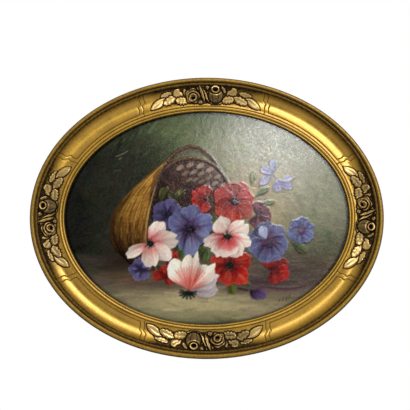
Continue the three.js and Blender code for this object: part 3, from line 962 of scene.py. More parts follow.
class Painting:
    """A sheet of wet paint with a colour and a thickness in each cell."""

    def __init__(self, seed):
        self.random = np.random.default_rng(seed)
        across = np.arange(-PAINT_HALF_WIDTH, PAINT_HALF_WIDTH + PAINT_STEP, PAINT_STEP)
        up = np.arange(-PAINT_HALF_HEIGHT, PAINT_HALF_HEIGHT + PAINT_STEP, PAINT_STEP)
        self.x, self.z = np.meshgrid(across, up, indexing="ij")
        self.colour = np.zeros((*self.x.shape, 3))
        self.thickness = np.zeros(self.x.shape)

    def window(self, x, z, reach):
        """The cells within reach of a place."""
        first_x = max(0, int((x - reach + PAINT_HALF_WIDTH) / PAINT_STEP))
        last_x = max(first_x + 1, int((x + reach + PAINT_HALF_WIDTH) / PAINT_STEP) + 1)
        first_z = max(0, int((z - reach + PAINT_HALF_HEIGHT) / PAINT_STEP))
        last_z = max(first_z + 1, int((z + reach + PAINT_HALF_HEIGHT) / PAINT_STEP) + 1)
        return slice(first_x, last_x), slice(first_z, last_z)

    def lay(self, window, cover, colour, body=0.0):
        cover = np.clip(cover, 0, 1)[..., None]
        self.colour[window] = self.colour[window] * (1 - cover) + np.clip(colour, 0, 1) * cover
        self.thickness[window] = self.thickness[window] * (1 - 0.6 * cover[..., 0]) + body * cover[..., 0]

    def colour_at(self, x, z):
        i = int(np.clip((x + PAINT_HALF_WIDTH) / PAINT_STEP, 0, self.x.shape[0] - 1))
        j = int(np.clip((z + PAINT_HALF_HEIGHT) / PAINT_STEP, 0, self.x.shape[1] - 1))
        return self.colour[i, j].copy()

    def wash(self, middle, radii, code, strength=1.0, turn=0.0):
        """A soft patch of colour that fades out towards its edge."""
        angle = math.radians(turn)
        dx, dz = self.x - middle[0], self.z - middle[1]
        along = (dx * math.cos(angle) + dz * math.sin(angle)) / radii[0]
        across = (dz * math.cos(angle) - dx * math.sin(angle)) / radii[1]
        self.lay(EVERYWHERE, strength * np.exp(-(along**2 + across**2)), tint(code))

    def stroke(self, points, width, colour, strength=0.85, streak=0.06, body=0.25, ragged=0.25):
        """One pull of a bristle brush through two or more places."""
        points = np.array(points, dtype=float)
        share = np.linspace(0, 1, max(4, 3 * len(points)))
        at = share * (len(points) - 1)
        line = np.stack([np.interp(at, np.arange(len(points)), points[:, i]) for i in (0, 1)], axis=1)
        middle = (line.min(0) + line.max(0)) / 2
        reach = np.abs(line - middle).max() + width
        window = self.window(*middle, reach)
        x, z = self.x[window], self.z[window]
        best = np.full(x.shape, 1e9)
        side = np.zeros(x.shape)
        ahead = np.zeros(x.shape)
        for i in range(len(line) - 1):
            step = line[i + 1] - line[i]
            length = max(np.hypot(*step), 1e-6)
            dx, dz = x - line[i, 0], z - line[i, 1]
            along = np.clip((dx * step[0] + dz * step[1]) / length, 0, length)
            away_x, away_z = dx - along * step[0] / length, dz - along * step[1] / length
            far = np.hypot(away_x, away_z)
            nearer = far < best
            best = np.where(nearer, far, best)
            side = np.where(nearer, np.sign(step[0] * away_z - step[1] * away_x) * far, side)
            ahead = np.where(nearer, (i + along / length) / (len(line) - 1), ahead)
        bristles = self.random.normal(size=12)
        across = np.clip(side / width, -1, 1)
        bristle = np.interp(across, np.linspace(-1, 1, 12), bristles)
        half = width / 2 * (1 + ragged * 0.4 * bristle) * (
            0.55 + 0.45 * np.sqrt(np.clip(4 * ahead * (1.15 - ahead), 0, 1))
        )
        cover = strength * smooth(0.35, -0.45, best - half) * (
            1 - ragged * smooth(0.6, 1.0, ahead) * (bristle > 0.2)
        )
        shade = np.asarray(colour) + streak * bristle[..., None]
        self.lay(window, cover, shade, body * (0.7 + 0.3 * bristle))

    def petal(
        self, base, angle, length, width, inner, outer, rim=None, shade=0.12, veins=0.035, ruffle=0.055,
        cast=0.55, point=0.6
    ):
        """A petal that widens from its base and ends in a ruffled lip."""
        turn = math.radians(angle)
        window = self.window(
            base[0] + math.cos(turn) * length / 2, base[1] + math.sin(turn) * length / 2,
            0.62 * length + width / 2 + 3
        )
        dx, dz = self.x[window] - base[0], self.z[window] - base[1]
        ahead = (dx * math.cos(turn) + dz * math.sin(turn)) / length
        across = (dz * math.cos(turn) - dx * math.sin(turn)) / (width / 2)
        folds = self.random.normal(size=9)
        fan = across / np.maximum(np.clip(ahead, 0, 2) ** 0.5, 0.25)
        fold = np.interp(np.clip(fan, -1.2, 1.2), np.linspace(-1.2, 1.2, 9), folds)
        end = 1 + ruffle * fold - 0.16 * across**2
        share = np.clip(ahead / end, 0, 1)
        half = 1.34 * share**point * np.sqrt(1 - np.minimum(share, 1) ** 4) + 0.02
        inside = np.minimum(
            (half - np.abs(across)) * width / 2, np.minimum(end - ahead, ahead + 0.02) * length
        )
        darker = smooth(-2.2, 1.2, inside) * cast
        self.lay(window, darker * (inside < 0.8), self.colour[window] * 0.35)
        cover = smooth(-0.5, 0.6, inside)
        mixed = inner + (outer - inner) * smooth(0.1, 0.8, share + 0.08 * fold)[..., None]
        mixed = mixed * (1 + shade * across[..., None]) + veins * fold[..., None] * (0.4 + share[..., None])
        lip = smooth(2.6, 0.4, inside) * smooth(0.4, 0.9, share)
        if rim is not None:
            mixed = mixed + (rim - mixed) * 0.65 * lip[..., None]
        self.lay(window, cover, mixed, 0.3 + 0.3 * lip + 0.08 * fold)

    def eye(self, middle, radius, code, spark, squash=1.0):
        """The dark boss at the heart of a bloom, with its ring of small stamens."""
        dark = tint(code)
        for i in range(16):
            angle = 2 * math.pi * i / 16 + self.random.normal(0, 0.15)
            far = radius * (1.15 + 0.3 * self.random.random())
            tip = (middle[0] + far * math.cos(angle), middle[1] + squash * far * math.sin(angle))
            self.stroke([middle, tip], 1.1, dark, 0.75, 0.03, 0.3)
        self.stroke(
            [(middle[0] - 0.3 * radius, middle[1]), (middle[0] + 0.3 * radius, middle[1])],
            1.5 * radius * squash, dark, 0.95, 0.03, 0.5
        )
        light = tint(spark)
        for _ in range(4):
            place = np.array(middle) + self.random.normal(0, 0.3 * radius, 2)
            self.stroke([place, place + (0.8, 0.5)], 1.0, light, 0.55, 0.0, 0.5)

    def greenery(self, base, angle, length, width, code, light):
        """A leaf of two tones with a pale midrib."""
        dark, pale = tint(code), tint(light)
        self.petal(
            base, angle, length, width, dark, 0.6 * dark + 0.4 * pale, None, 0.35, 0.04, 0.04, 0.3, 0.9
        )
        turn = math.radians(angle)
        end = (base[0] + 0.8 * length * math.cos(turn), base[1] + 0.8 * length * math.sin(turn))
        self.stroke([base, end], 0.9, pale, 0.35, 0.02)


def paint_background(sheet):
    sheet.colour[:] = tint(0x5A5C46)
    for wash in (
        ((-190, 10), (100, 240), 0x1D1E1C),
        ((-115, 95), (90, 75), 0x2A2E25, 0.9),
        ((-60, 128), (75, 40), 0x424A33, 0.85, -10),
        ((-95, 30), (60, 60), 0x2C2D24, 0.85),
        ((-12, 118), (62, 36), 0x5E6A47, 0.85, -15),
        ((36, 88), (60, 48), 0x7E7F5C, 0.85),
        ((76, 66), (66, 62), 0x9C9674, 0.95, 20),
        ((95, 115), (60, 40), 0x7F7F66, 0.8),
        ((150, 75), (60, 60), 0x85866A, 0.9),
        ((92, 14), (48, 46), 0xB09C74, 0.9),
        ((62, 36), (40, 30), 0xA08C66, 0.7),
        ((160, 8), (56, 48), 0x828466, 0.9),
        ((180, -50), (60, 32), 0x55553F, 0.9),
    ):
        sheet.wash(*wash)
    random = sheet.random
    for _ in range(2600):
        x, z = random.uniform(-200, 200), random.uniform(-60, 152)
        angle = random.normal(0.9 if x < 20 else 2.2, 0.6)
        length = random.uniform(7, 20)
        half = (0.5 * length * math.cos(angle), 0.5 * length * math.sin(angle))
        colour = sheet.colour_at(x, z) * random.normal(1.0, 0.075) + random.normal(0, 0.012, 3)
        bend = (x + random.normal(0, 1.5), z + random.normal(0, 1.5))
        sheet.stroke(
            [(x - half[0], z - half[1]), bend, (x + half[0], z + half[1])], random.uniform(3, 7), colour,
            0.45, 0.022, 0.16
        )
    for _ in range(90):
        x, z = random.normal(-30, 45), random.normal(112, 18)
        sheet.stroke(
            [(x, z), (x + random.normal(7, 3), z + random.normal(5, 4))], 2.4, tint(0x6E8250), 0.28, 0.03, 0.2
        )


def paint_table(sheet):
    random = sheet.random
    horizon = -50 + 4 * np.sin(sheet.x / 60) - 7 * smooth(60, 190, sheet.x)
    table = smooth(3.0, -5.0, sheet.z - horizon)
    across = smooth(-170, -40, sheet.x)[..., None]
    near = smooth(-60, -112, sheet.z)[..., None]
    far_tone = tint(0x3A3832) * (1 - across) + tint(0x5D4F42) * across
    near_tone = tint(0x6A6150) * (1 - across) + tint(0x9C9270) * across
    sheet.lay(EVERYWHERE, table, far_tone * (1 - near) + near_tone * near)
    for wash in (
        ((0, -119), (112, 17), 0xB4A880, 0.9),
        ((-100, -92), (50, 13), 0x6E6252, 0.7),
        ((20, -146), (110, 14), 0x6F6E52, 0.8),
        ((120, -80), (60, 26), 0x4E4640, 0.95),
        ((66, -92), (66, 15), 0x46383C, 0.9),
        ((-70, -92), (45, 9), 0x4F4138, 0.8),
        ((120, -112), (45, 13), 0x6C6150, 0.7),
    ):
        sheet.wash(*wash)
    for _ in range(900):
        x, z = random.uniform(-180, 185), random.uniform(-150, -54)
        length = random.uniform(10, 30)
        colour = sheet.colour_at(x, z) * random.normal(1.0, 0.09) + random.normal(0, 0.012, 3)
        tilt = random.normal(0, 1.6)
        sheet.stroke(
            [(x - length / 2, z - tilt), (x + length / 2, z + tilt)], random.uniform(1.8, 4.5), colour, 0.5,
            0.03, 0.2
        )
    for _ in range(14):
        x, z = random.normal(-112, 14), random.normal(-77, 7)
        sheet.stroke([(x - 8, z), (x + 8, z + random.normal(0, 1))], 1.6, tint(0x7C4233), 0.4, 0.03, 0.2)
    for _ in range(26):
        x, z = random.normal(10, 60), random.normal(-120, 7)
        sheet.stroke([(x - 12, z), (x + 12, z + random.normal(0, 1))], 2.6, tint(0xB9AC7E), 0.35, 0.03, 0.25)


def basket_edges(height):
    """The left outline and the rim of the basket's side, at a height."""
    left = -134 + 72 * np.clip((height + 8) / 82, 0, 1.1) ** 1.6 + 34 * smooth(-26, -78, height) ** 1.3
    rim = -83.5 + 25 * np.clip((height + 30) / 106, 0, 1.1) ** 1.7 + 12 * smooth(-30, -76, height)
    return left, rim


def paint_basket(sheet):
    random = sheet.random
    height = sheet.z
    left, rim = basket_edges(height)
    body = smooth(-2, 1.5, sheet.x - left) * smooth(
        1.5, -1.5, sheet.x - rim
    ) * smooth(79, 75, height) * smooth(-78, -72, height)
    sheet.wash((-118, -62), (28, 16), 0x2A211A, 0.8)
    share = ((sheet.x - left) / np.maximum(rim - left, 1))[..., None]
    light = smooth(-62, 30, height)[..., None]
    tone = tint(0x3C2515) * (1 - light) + tint(0x9A6C2C) * light
    tone = tone * (0.55 + 0.75 * smooth(0.0, 0.55, share) - 0.25 * smooth(0.75, 1.0, share))
    sheet.lay(EVERYWHERE, body, tone, 0.2)
    tones = (0x3A2412, 0x6B431C, 0x8A5F26, 0xB98A3B, 0xD2A350, 0x57351A)
    for _ in range(430):
        place = random.random()
        low = random.uniform(-72, 56)
        length = random.uniform(12, 34)
        points = []
        for z in np.linspace(low, min(low + length, 80), 4):
            edge, lip = basket_edges(z)
            points.append((edge + (lip - edge) * (0.04 + 0.93 * place), z))
        bright = min(1.0, max(0.0, (low + 60) / 110))
        choice = int(np.clip(random.normal(1.2 + 2.3 * bright, 1.2), 0, 4))
        colour = tint(tones[choice]) * (0.55 + 0.45 * bright) * (0.7 + 0.45 * min(1, 2.5 * place))
        sheet.stroke(points, random.uniform(1.0, 2.1), colour, 0.7, 0.04, 0.35)
    for z in np.linspace(-66, 66, 13):
        edge, lip = basket_edges(z)
        points = [
            (
                edge + (lip - edge) * t, z - 5 * math.sin(math.pi * t) + 5 * t
            ) for t in np.linspace(0.05, 0.95, 5)
        ]
        sheet.stroke(points, 1.3, tint(0x3F2713), 0.22, 0.02, 0.1)


def paint_basket_mouth(sheet):
    random = sheet.random
    dx, dz = sheet.x + 22, sheet.z - 20
    angle = math.radians(-14)
    along = (dx * math.cos(angle) + dz * math.sin(angle)) / 57
    across = (dz * math.cos(angle) - dx * math.sin(angle)) / 63
    far = np.hypot(along, across)
    inside = smooth(1.04, 0.97, far)
    depth = smooth(-70, 20, sheet.x)[..., None]
    tone = tint(0x261A17) * (1 - depth) + tint(0x4A3028) * depth
    tone = tone + 0.06 * smooth(30, 70, sheet.z)[..., None]
    sheet.lay(EVERYWHERE, inside, tone, 0.1)
    for _ in range(190):
        turn = random.uniform(0.1, 2.6)
        near = random.uniform(0.55, 0.95)
        x = -22 + 57 * near * math.cos(turn)
        z = 20 + 62 * near * math.sin(turn)
        code = random.choice([0x3A2620, 0x52362B, 0x6A4733, 0x2C1C18])
        sheet.stroke(
            [(x, z), (x + random.normal(5, 2), z - random.uniform(5, 12))], 2.0, tint(int(code)), 0.55, 0.03,
            0.2
        )
    hole_tone = (0xB79C86, 0xA48A74, 0xC2AA92)
    for row in range(3):
        for place in range(7 - row):
            turn = math.radians(112 - 17 * place - 6 * row)
            near = 0.86 - 0.17 * row
            x = -20 + 56 * near * math.cos(turn)
            z = 21 + 60 * near * math.sin(turn)
            tone = tint(hole_tone[(row + place) % 3]) * (0.92 - 0.1 * row)
            sheet.stroke([(x - 3.2, z - 1.6), (x + 3.2, z + 2.0)], 6.0 - 0.9 * row, tone, 0.85, 0.03, 0.3)
    ring = [(-22 + 57 * math.cos(t), 20 + 62 * math.sin(t)) for t in np.radians(np.linspace(168, 8, 18))]
    sheet.stroke(ring, 5.4, tint(0x4E3323), 0.9, 0.05, 0.4, 0.1)
    sheet.stroke([(x + 0.6, z + 1.3) for x, z in ring[:15]], 1.5, tint(0x8A6644), 0.6, 0.05, 0.5)
    rim = [(basket_edges(z)[1] + 1, z) for z in np.linspace(74, -52, 12)]
    sheet.stroke(rim, 3.2, tint(0x3A2417), 0.85, 0.03, 0.3, 0.1)
    sheet.stroke([(x - 2.2, z) for x, z in rim], 2.3, tint(0xC9A468), 0.75, 0.05, 0.5)
    loop = [(-62, 66), (-54, 80), (-42, 92), (-24, 99), (-8, 96), (4, 86), (13, 74)]
    sheet.stroke(loop, 6.2, tint(0x3E271C), 0.9, 0.04, 0.4, 0.1)
    sheet.stroke([(x, z + 1.4) for x, z in loop[:6]], 1.8, tint(0x8C6140), 0.7, 0.05, 0.5)
    sheet.stroke([(x + 1.5, z - 5.2) for x, z in loop[1:6]], 2.2, tint(0x5A3B2A), 0.6, 0.05, 0.4)
    sheet.stroke([(-62, 66), (-66, 58), (-70, 44)], 4.5, tint(0x4A3021), 0.8, 0.04, 0.4)
    sheet.stroke([(13, 74), (22, 60), (30, 44)], 4.2, tint(0x4A3021), 0.8, 0.04, 0.4)


def paint_leaves(sheet):
    for x, z, angle, length, width, dark, light in (
        (-66, 18, 70, 26, 15, 0x2E2F1C, 0x6B6536),
        (-50, 22, 40, 24, 14, 0x35351F, 0x7A7340),
        (-40, 14, 120, 26, 12, 0x2B2C1B, 0x67653A),
        (-44, -34, -70, 24, 17, 0x2F3C1E, 0x6E7B3C),
        (-30, -36, -95, 22, 16, 0x33421F, 0x7C8A45),
        (-14, -38, -50, 25, 16, 0x2F3D20, 0x74823F),
        (0, -42, -100, 20, 13, 0x2C3A1E, 0x66733A),
        (8, 8, -80, 26, 18, 0x3A4423, 0x77803F),
        (26, -6, 120, 20, 12, 0x384222, 0x6F7A3E),
        (66, 28, 35, 24, 10, 0x4A5A3A, 0x7D8A58),
        (62, 44, 80, 20, 9, 0x59663F, 0x8A9460),
        (72, 18, 10, 22, 9, 0x4E5C3A, 0x808C5A),
        (116, -34, -35, 28, 15, 0x3F4A30, 0x6E7B4E),
        (118, -30, -5, 26, 11, 0x47523A, 0x76835A),
        (30, -84, -75, 24, 15, 0x3B441F, 0x7C7F3C),
        (44, -82, -40, 20, 11, 0x34401F, 0x6D743A),
        (14, -84, -110, 18, 10, 0x343B1F, 0x666A38),
        (-70, -66, -40, 20, 12, 0x2C3320, 0x56603A),
    ):
        sheet.greenery((x, z), angle, length, width, dark, light)


def ray(middle, near, far, turn):
    """The two ends of a straight stroke that runs out from a flower's middle."""
    return [(middle[0] + reach * math.cos(turn), middle[1] + reach * math.sin(turn)) for reach in (near, far)]


def bloom(sheet, middle, petals, inner, outer, rim, eye, squash=1.0, point=0.55):
    """Petals given as angle, length and width, painted in that order, with an eye over them."""
    for angle, length, width in petals:
        light = 1 + 0.07 * sheet.random.normal()
        length = length * sheet.random.uniform(0.97, 1.06)
        narrow = point * sheet.random.uniform(0.88, 1.12)
        sheet.petal(
            middle, angle, length, width, tint(inner), tint(outer) * light, tint(rim) * light, point=narrow
        )
        for _ in range(7):
            turn = math.radians(angle + sheet.random.normal(0, 0.22) * math.degrees(width / length))
            near, far = sheet.random.uniform(0.25, 0.5) * length, sheet.random.uniform(0.6, 0.93) * length
            touch = tint(inner) + (tint(rim) - tint(inner)) * sheet.random.uniform(0.35, 1.0)
            width_of_touch = sheet.random.uniform(1.2, 2.8)
            sheet.stroke(ray(middle, near, far, turn), width_of_touch, touch * light, 0.4, 0.08, 0.35)
    if eye:
        radius, dark, spark = eye
        sheet.eye(middle, radius, dark, spark, squash)


def paint_back_blooms(sheet):
    bloom(sheet, (-54, 3), ((140, 22, 24), (80, 22, 26), (20, 20, 22), (200, 22, 22), (260, 20, 22)),
          0x2C2440, 0x4C4670, 0x6C6690, (4.0, 0x1A162B, 0x6B6A8A))
    bloom(sheet, (-2, 26), ((150, 19, 22), (95, 18, 22), (205, 20, 22), (255, 20, 20)),
          0x741814, 0xA82C26, 0xC04A42, (2.5, 0x3A0C10, 0x8A4A4A))
    bloom(sheet, (70, 3), ((70, 19, 24), (10, 20, 24), (-50, 21, 22), (-100, 18, 20)),
          0x44202C, 0x6E3444, 0x8C5464, None)
    bloom(sheet, (131, -19),
          ((20, 18, 20), (80, 19, 20), (140, 19, 20), (200, 18, 20), (260, 18, 19), (320, 18, 19)),
          0x4A3C66, 0x525C8E, 0x8088B4, (4.5, 0x4C2C50, 0x9A8AB0))
    bloom(sheet, (90, -74), ((40, 24, 26), (-15, 24, 24), (100, 20, 22), (-70, 18, 20)),
          0x5C1412, 0x96241F, 0xB8403A, None)
    bloom(sheet, (-90, -74), ((110, 18, 18), (170, 18, 17), (50, 16, 17), (230, 15, 16), (300, 14, 15)),
          0x322A48, 0x58527E, 0x8582AC, None)
    bloom(sheet, (-55, -60), ((40, 17, 18), (110, 15, 16), (-40, 16, 17)), 0x74140F, 0xA22A22, 0xC04840, None)
    bloom(
        sheet, (-58, -84), ((20, 19, 18), (90, 16, 17), (160, 17, 16), (-30, 15, 13)), 0x661210, 0x92241F,
        0xB23C34, None
    )


def paint_fallen_blooms(sheet):
    for x, z, angle, length, width, inner, outer in (
        (92, 62, 85, 20, 13, 0x6F6E96, 0x8E93B4),
        (92, 60, 150, 19, 13, 0x74709A, 0x8F90B6),
        (90, 58, 215, 20, 12, 0x77729A, 0x9492B4),
        (96, 52, -80, 18, 13, 0x6A6392, 0x8481AE),
        (100, 52, -35, 22, 13, 0x6C6494, 0x8886B4),
        (104, 50, 20, 16, 10, 0x7A769E, 0x9A9ABB),
    ):
        sheet.petal(
            (x, z), angle, length, width, tint(inner), tint(outer), tint(0xA3A6C4), 0.1, 0.06, 0.08, 0.12
        )
    sheet.stroke([(92, 60), (100, 50)], 3.0, tint(0x5C4F80), 0.6, 0.04, 0.3)
    sheet.stroke([(72, -96), (92, -98), (112, -100), (136, -96)], 5.5, tint(0x563F44), 0.8, 0.05, 0.3)
    sheet.stroke([(80, -101), (104, -105), (128, -102)], 2.6, tint(0x7E5D58), 0.55, 0.05, 0.3)
    sheet.petal((62, -102), -20, 22, 15, tint(0x3A2438), tint(0x5E4A76), tint(0x7E6C9C))
    sheet.petal((60, -100), -55, 17, 11, tint(0x2E1C2C), tint(0x4A3A60), tint(0x6A5A88))
    sheet.stroke([(42, -98), (56, -101)], 4.0, tint(0x3A2A26), 0.8, 0.04, 0.3)


def paint_front_blooms(sheet):
    bloom(sheet, (39, 23), ((62, 28, 30), (108, 27, 30), (160, 30, 30), (12, 27, 28)),
          0x8A1C18, 0xB23A34, 0xD0685C, None)
    bloom(
        sheet, (38, 22), ((-42, 30, 28), (208, 31, 28), (256, 34, 32)), 0x8A1A14, 0xC04336, 0xDC7662,
        (6.0, 0x232838, 0x7A8AA4)
    )
    bloom(sheet, (-24, -16), ((82, 33, 34), (150, 32, 30), (20, 33, 31)), 0x443056, 0x5E6290, 0x8C92B6, None)
    bloom(
        sheet, (-24, -17), ((212, 30, 27), (-32, 30, 27), (268, 36, 30)), 0x3A2444, 0x6C729C, 0x9EA8C4,
        (7.2, 0x17131F, 0x8088A4)
    )
    bloom(sheet, (-79, -35), ((58, 30, 25), (8, 36, 28)), 0xC8686A, 0xE6D3C8, 0xF2EAE0, None)
    bloom(
        sheet, (-79, -37), ((206, 38, 17), (-36, 35, 26), (-88, 33, 25)), 0xD88A84, 0xE8DACE, 0xF6F0E6,
        (5.8, 0x141A18, 0x6E7E6A)
    )
    bloom(sheet, (85, -34),
          ((100, 28, 32), (45, 28, 30), (155, 28, 28), (-12, 28, 30),
           (205, 30, 28), (-65, 30, 32), (252, 30, 30)),
          0x36264C, 0x5C608A, 0x8C92B4, None)
    sheet.eye((84, -34), 10.0, 0x52304E, 0x7A5A80, 1.3)
    sheet.petal((82, -30), 112, 18, 14, tint(0x9CA4CC), tint(0xB2BADA), tint(0xCED4EA))
    sheet.eye((86, -38), 4.6, 0x221832, 0x6C5C86)


def paint_white_and_red_blooms(sheet):
    bloom(sheet, (31, -66), ((66, 25, 28), (12, 31, 27), (118, 23, 24), (165, 25, 24)),
          0x741210, 0xAA2820, 0xD86244, None)
    bloom(sheet, (31, -67), ((214, 28, 26), (-44, 32, 27), (-92, 26, 28)),
          0x741210, 0xB42A20, 0xDC6C48, (7.4, 0x161812, 0x74846A))
    bloom(sheet, (28, -26), ((118, 27, 28), (28, 32, 27)), 0xCF9690, 0xE8D8CC, 0xF4ECE2, None)
    bloom(sheet, (28, -27), ((197, 32, 20), (-18, 35, 22), (236, 32, 27), (-58, 32, 28), (270, 29, 32)),
          0xC64448, 0xEAD4CA, 0xF8F2EA, (6.8, 0x131A13, 0x7A8A70))
    for angle in range(225, 330, 9):
        turn = math.radians(angle)
        inner_end = (28 + 7 * math.cos(turn), -30 + 6 * math.sin(turn))
        outer_end = (28 + 17 * math.cos(turn), -31 + 16 * math.sin(turn))
        sheet.stroke([inner_end, outer_end], 1.8, tint(0xCB3A3C), 0.55, 0.05, 0.3)
    front = (-24, -101)
    bloom(sheet, front, ((6, 38, 26), (26, 41, 24)), 0xA48E94, 0xBFB2B8, 0xD8CECE, None)
    bloom(sheet, front, ((123, 47, 34), (46, 44, 32)), 0xC86A62, 0xE9DCCE, 0xF6EEE4, None, point=0.95)
    bloom(sheet, front, ((84, 48, 36),), 0xC8584E, 0xEBDFD2, 0xF8F2E8, None, point=0.95)
    for angle in range(48, 132, 7):
        turn = math.radians(angle)
        sheet.stroke(ray(front, 10, 33, turn), 1.9, tint(0xD9574C), 0.5, 0.06, 0.3)
    eye = (front[0] - 2, front[1] - 4)
    for angle in range(150, 400, 28):
        turn = math.radians(angle)
        tip = (eye[0] + 12 * math.cos(turn), eye[1] + 8 * math.sin(turn))
        sheet.stroke([eye, tip], 2.8, tint(0x1D2620), 0.85, 0.04, 0.5)
    sheet.stroke(
        [(front[0] - 5, front[1] - 3), (front[0] + 2, front[1] - 5)], 5.5, tint(0x141A18), 0.9, 0.03, 0.5
    )


def paint_last_touches(sheet):
    random = sheet.random
    # A painted shadow of the frame's lip darkens the picture along the sight edge, most at the top and least
    # at the bottom.
    from_edge = SIGHT_B * (1 - np.hypot(sheet.x / SIGHT_A, sheet.z / SIGHT_B))
    rebate_shadow = smooth(3.4, 0.6, from_edge) * (0.35 + 0.6 * smooth(-110, -20, sheet.z))
    sheet.colour *= (1 - 0.88 * rebate_shadow)[..., None]
    for x, z, lean in ((-124, 86, 4), (-117, 89, 3), (-121, 82, 2), (-112, 92, 2)):
        sheet.stroke([(x - lean, z - 1), (x + lean, z + 1.5)], 1.0, tint(0xB9B49A), 0.7, 0.03, 0.4)
    sheet.stroke([(-39, 36), (-38, 31)], 1.2, tint(0xD8D2C0), 0.8, 0.0, 0.4)
    for x, z in ((99, -118), (104, -116), (109, -115), (113, -112)):
        sheet.stroke([(x, z), (x + 1.4, z + 5)], 0.9, tint(0x241C1A), 0.75, 0.0, 0.3)
    for _ in range(70):
        x, z = random.normal(90, 45), random.normal(80, 30)
        sheet.stroke(
            [(x, z), (x + random.normal(0, 3), z + random.normal(0, 3))], 1.6, sheet.colour_at(x, z) * 1.13,
            0.4, 0.03, 0.25
        )


def paint_picture(seed):
    sheet = Painting(seed)
    for part in (
        paint_background,
        paint_table,
        paint_basket,
        paint_basket_mouth,
        paint_leaves,
        paint_back_blooms,
        paint_fallen_blooms,
        paint_front_blooms,
        paint_white_and_red_blooms,
        paint_last_touches,
    ):
        part(sheet)
    return sheet


# ---- The canvas ----
# The linen lies over the front of the strainer, turns round its edge and ends in a pleated flap behind it.

CANVAS_COLUMNS = 304
CANVAS_ROWS = 230
CLOTH_FRONT = 12.85
CLOTH_BACK = 12.1
FLAP_DEPTH = 3.1
FLAP_REACH = 12.0
FLAP_RINGS = (6, 9)
PLEAT_DEPTH = 0.12
PAINT_THICKNESS = 0.4
CLOTH_EDGE = 2.55
CLOTH_TURN = [
    (2.85, 12.72),
    (3.0, 12.4),
    (3.0, 8.0),
    (3.0, 4.0),
    (2.8, 3.4),
    (2.4, FLAP_DEPTH),
    (-3.5, FLAP_DEPTH),
    (2.5 - FLAP_REACH, FLAP_DEPTH),
    (2.4 - FLAP_REACH, 3.45),
    (2.5 - FLAP_REACH, 3.75),
    (1.9, 3.78),
    (2.35, 4.1),
    (2.35, 11.7),
    (2.0, 12.0),
    (-0.5, CLOTH_BACK),
]


def canvas_layout():
    """A disc of cells, radius 1, with one ring of cells outside it for each step of the turned edge."""
    bm = bmesh.new()
    bmesh.ops.create_grid(bm, x_segments=CANVAS_COLUMNS, y_segments=CANVAS_ROWS, size=1.0)
    for vert in bm.verts:
        u, v = vert.co.x, vert.co.y
        vert.co.x = u * math.sqrt(1 - v * v / 2)
        vert.co.y = v * math.sqrt(1 - u * u / 2)
    rim = [edge for edge in bm.edges if edge.is_boundary]
    for ring in range(1, len(CLOTH_TURN) + 1):
        grown = bmesh.ops.extrude_edge_only(bm, edges=rim)["geom"]
        verts = [part for part in grown if isinstance(part, bmesh.types.BMVert)]
        rim = [part for part in grown if isinstance(part, bmesh.types.BMEdge) and part.is_boundary]
        bmesh.ops.scale(bm, verts=verts, vec=(((ring + 1) / ring),) * 2 + (1.0,))
    bmesh.ops.contextual_create(bm, geom=rim)
    return bm


def canvas_mesh(picture):
    bm = canvas_layout()
    flat = np.array([vert.co[:2] for vert in bm.verts])
    far = np.hypot(flat[:, 0], flat[:, 1])
    turn = np.arctan2(flat[:, 0], flat[:, 1])
    ring = np.clip(np.rint(far - 1).astype(int), 0, len(CLOTH_TURN))
    offsets = np.array([CLOTH_EDGE] + [step[0] for step in CLOTH_TURN])
    depths = np.array([CLOTH_FRONT] + [step[1] for step in CLOTH_TURN])
    x, z = oval_point(turn, offsets[ring])
    inner = np.where(ring == 0, far, 1.0)
    x = x * inner
    z = CENTRE_Z + (z - CENTRE_Z) * inner
    colour, thickness = picture_at(picture, x, z - CENTRE_Z)
    front = ring == 0
    pleats = np.abs(np.sin(19 * turn + 0.8 * np.sin(7 * turn))) ** 8
    on_flap = (ring >= FLAP_RINGS[0]) & (ring <= FLAP_RINGS[1])
    paint = np.where(front, PAINT_THICKNESS * thickness, 0.0)
    depth = depths[ring] + paint - np.where(on_flap, PLEAT_DEPTH * pleats, 0.0)
    for vert, place in zip(bm.verts, np.stack([x, -depth, z], axis=1) * MM):
        vert.co = place
    mesh = mesh_from(bm, "canvas_cloth")
    set_colours(mesh, "paint", colour**2.2)
    set_values(mesh, "painted", (ring < 3).astype(float))
    mesh.flip_normals()
    return mesh


def picture_at(picture, x, z):
    """Colour and thickness of the paint at places, blended between the nearest cells."""
    i = np.clip((x + PAINT_HALF_WIDTH) / PAINT_STEP, 0, picture.x.shape[0] - 1.001)
    j = np.clip((z + PAINT_HALF_HEIGHT) / PAINT_STEP, 0, picture.x.shape[1] - 1.001)
    left, low = i.astype(int), j.astype(int)
    share_x, share_z = i - left, j - low
    colour = np.zeros((len(x), 3))
    thickness = np.zeros(len(x))
    for di, dj in ((0, 0), (1, 0), (0, 1), (1, 1)):
        weight = (share_x if di else 1 - share_x) * (share_z if dj else 1 - share_z)
        colour += weight[:, None] * picture.colour[left + di, low + dj]
        thickness += weight * picture.thickness[left + di, low + dj]
    return np.clip(colour, 0, 1), thickness


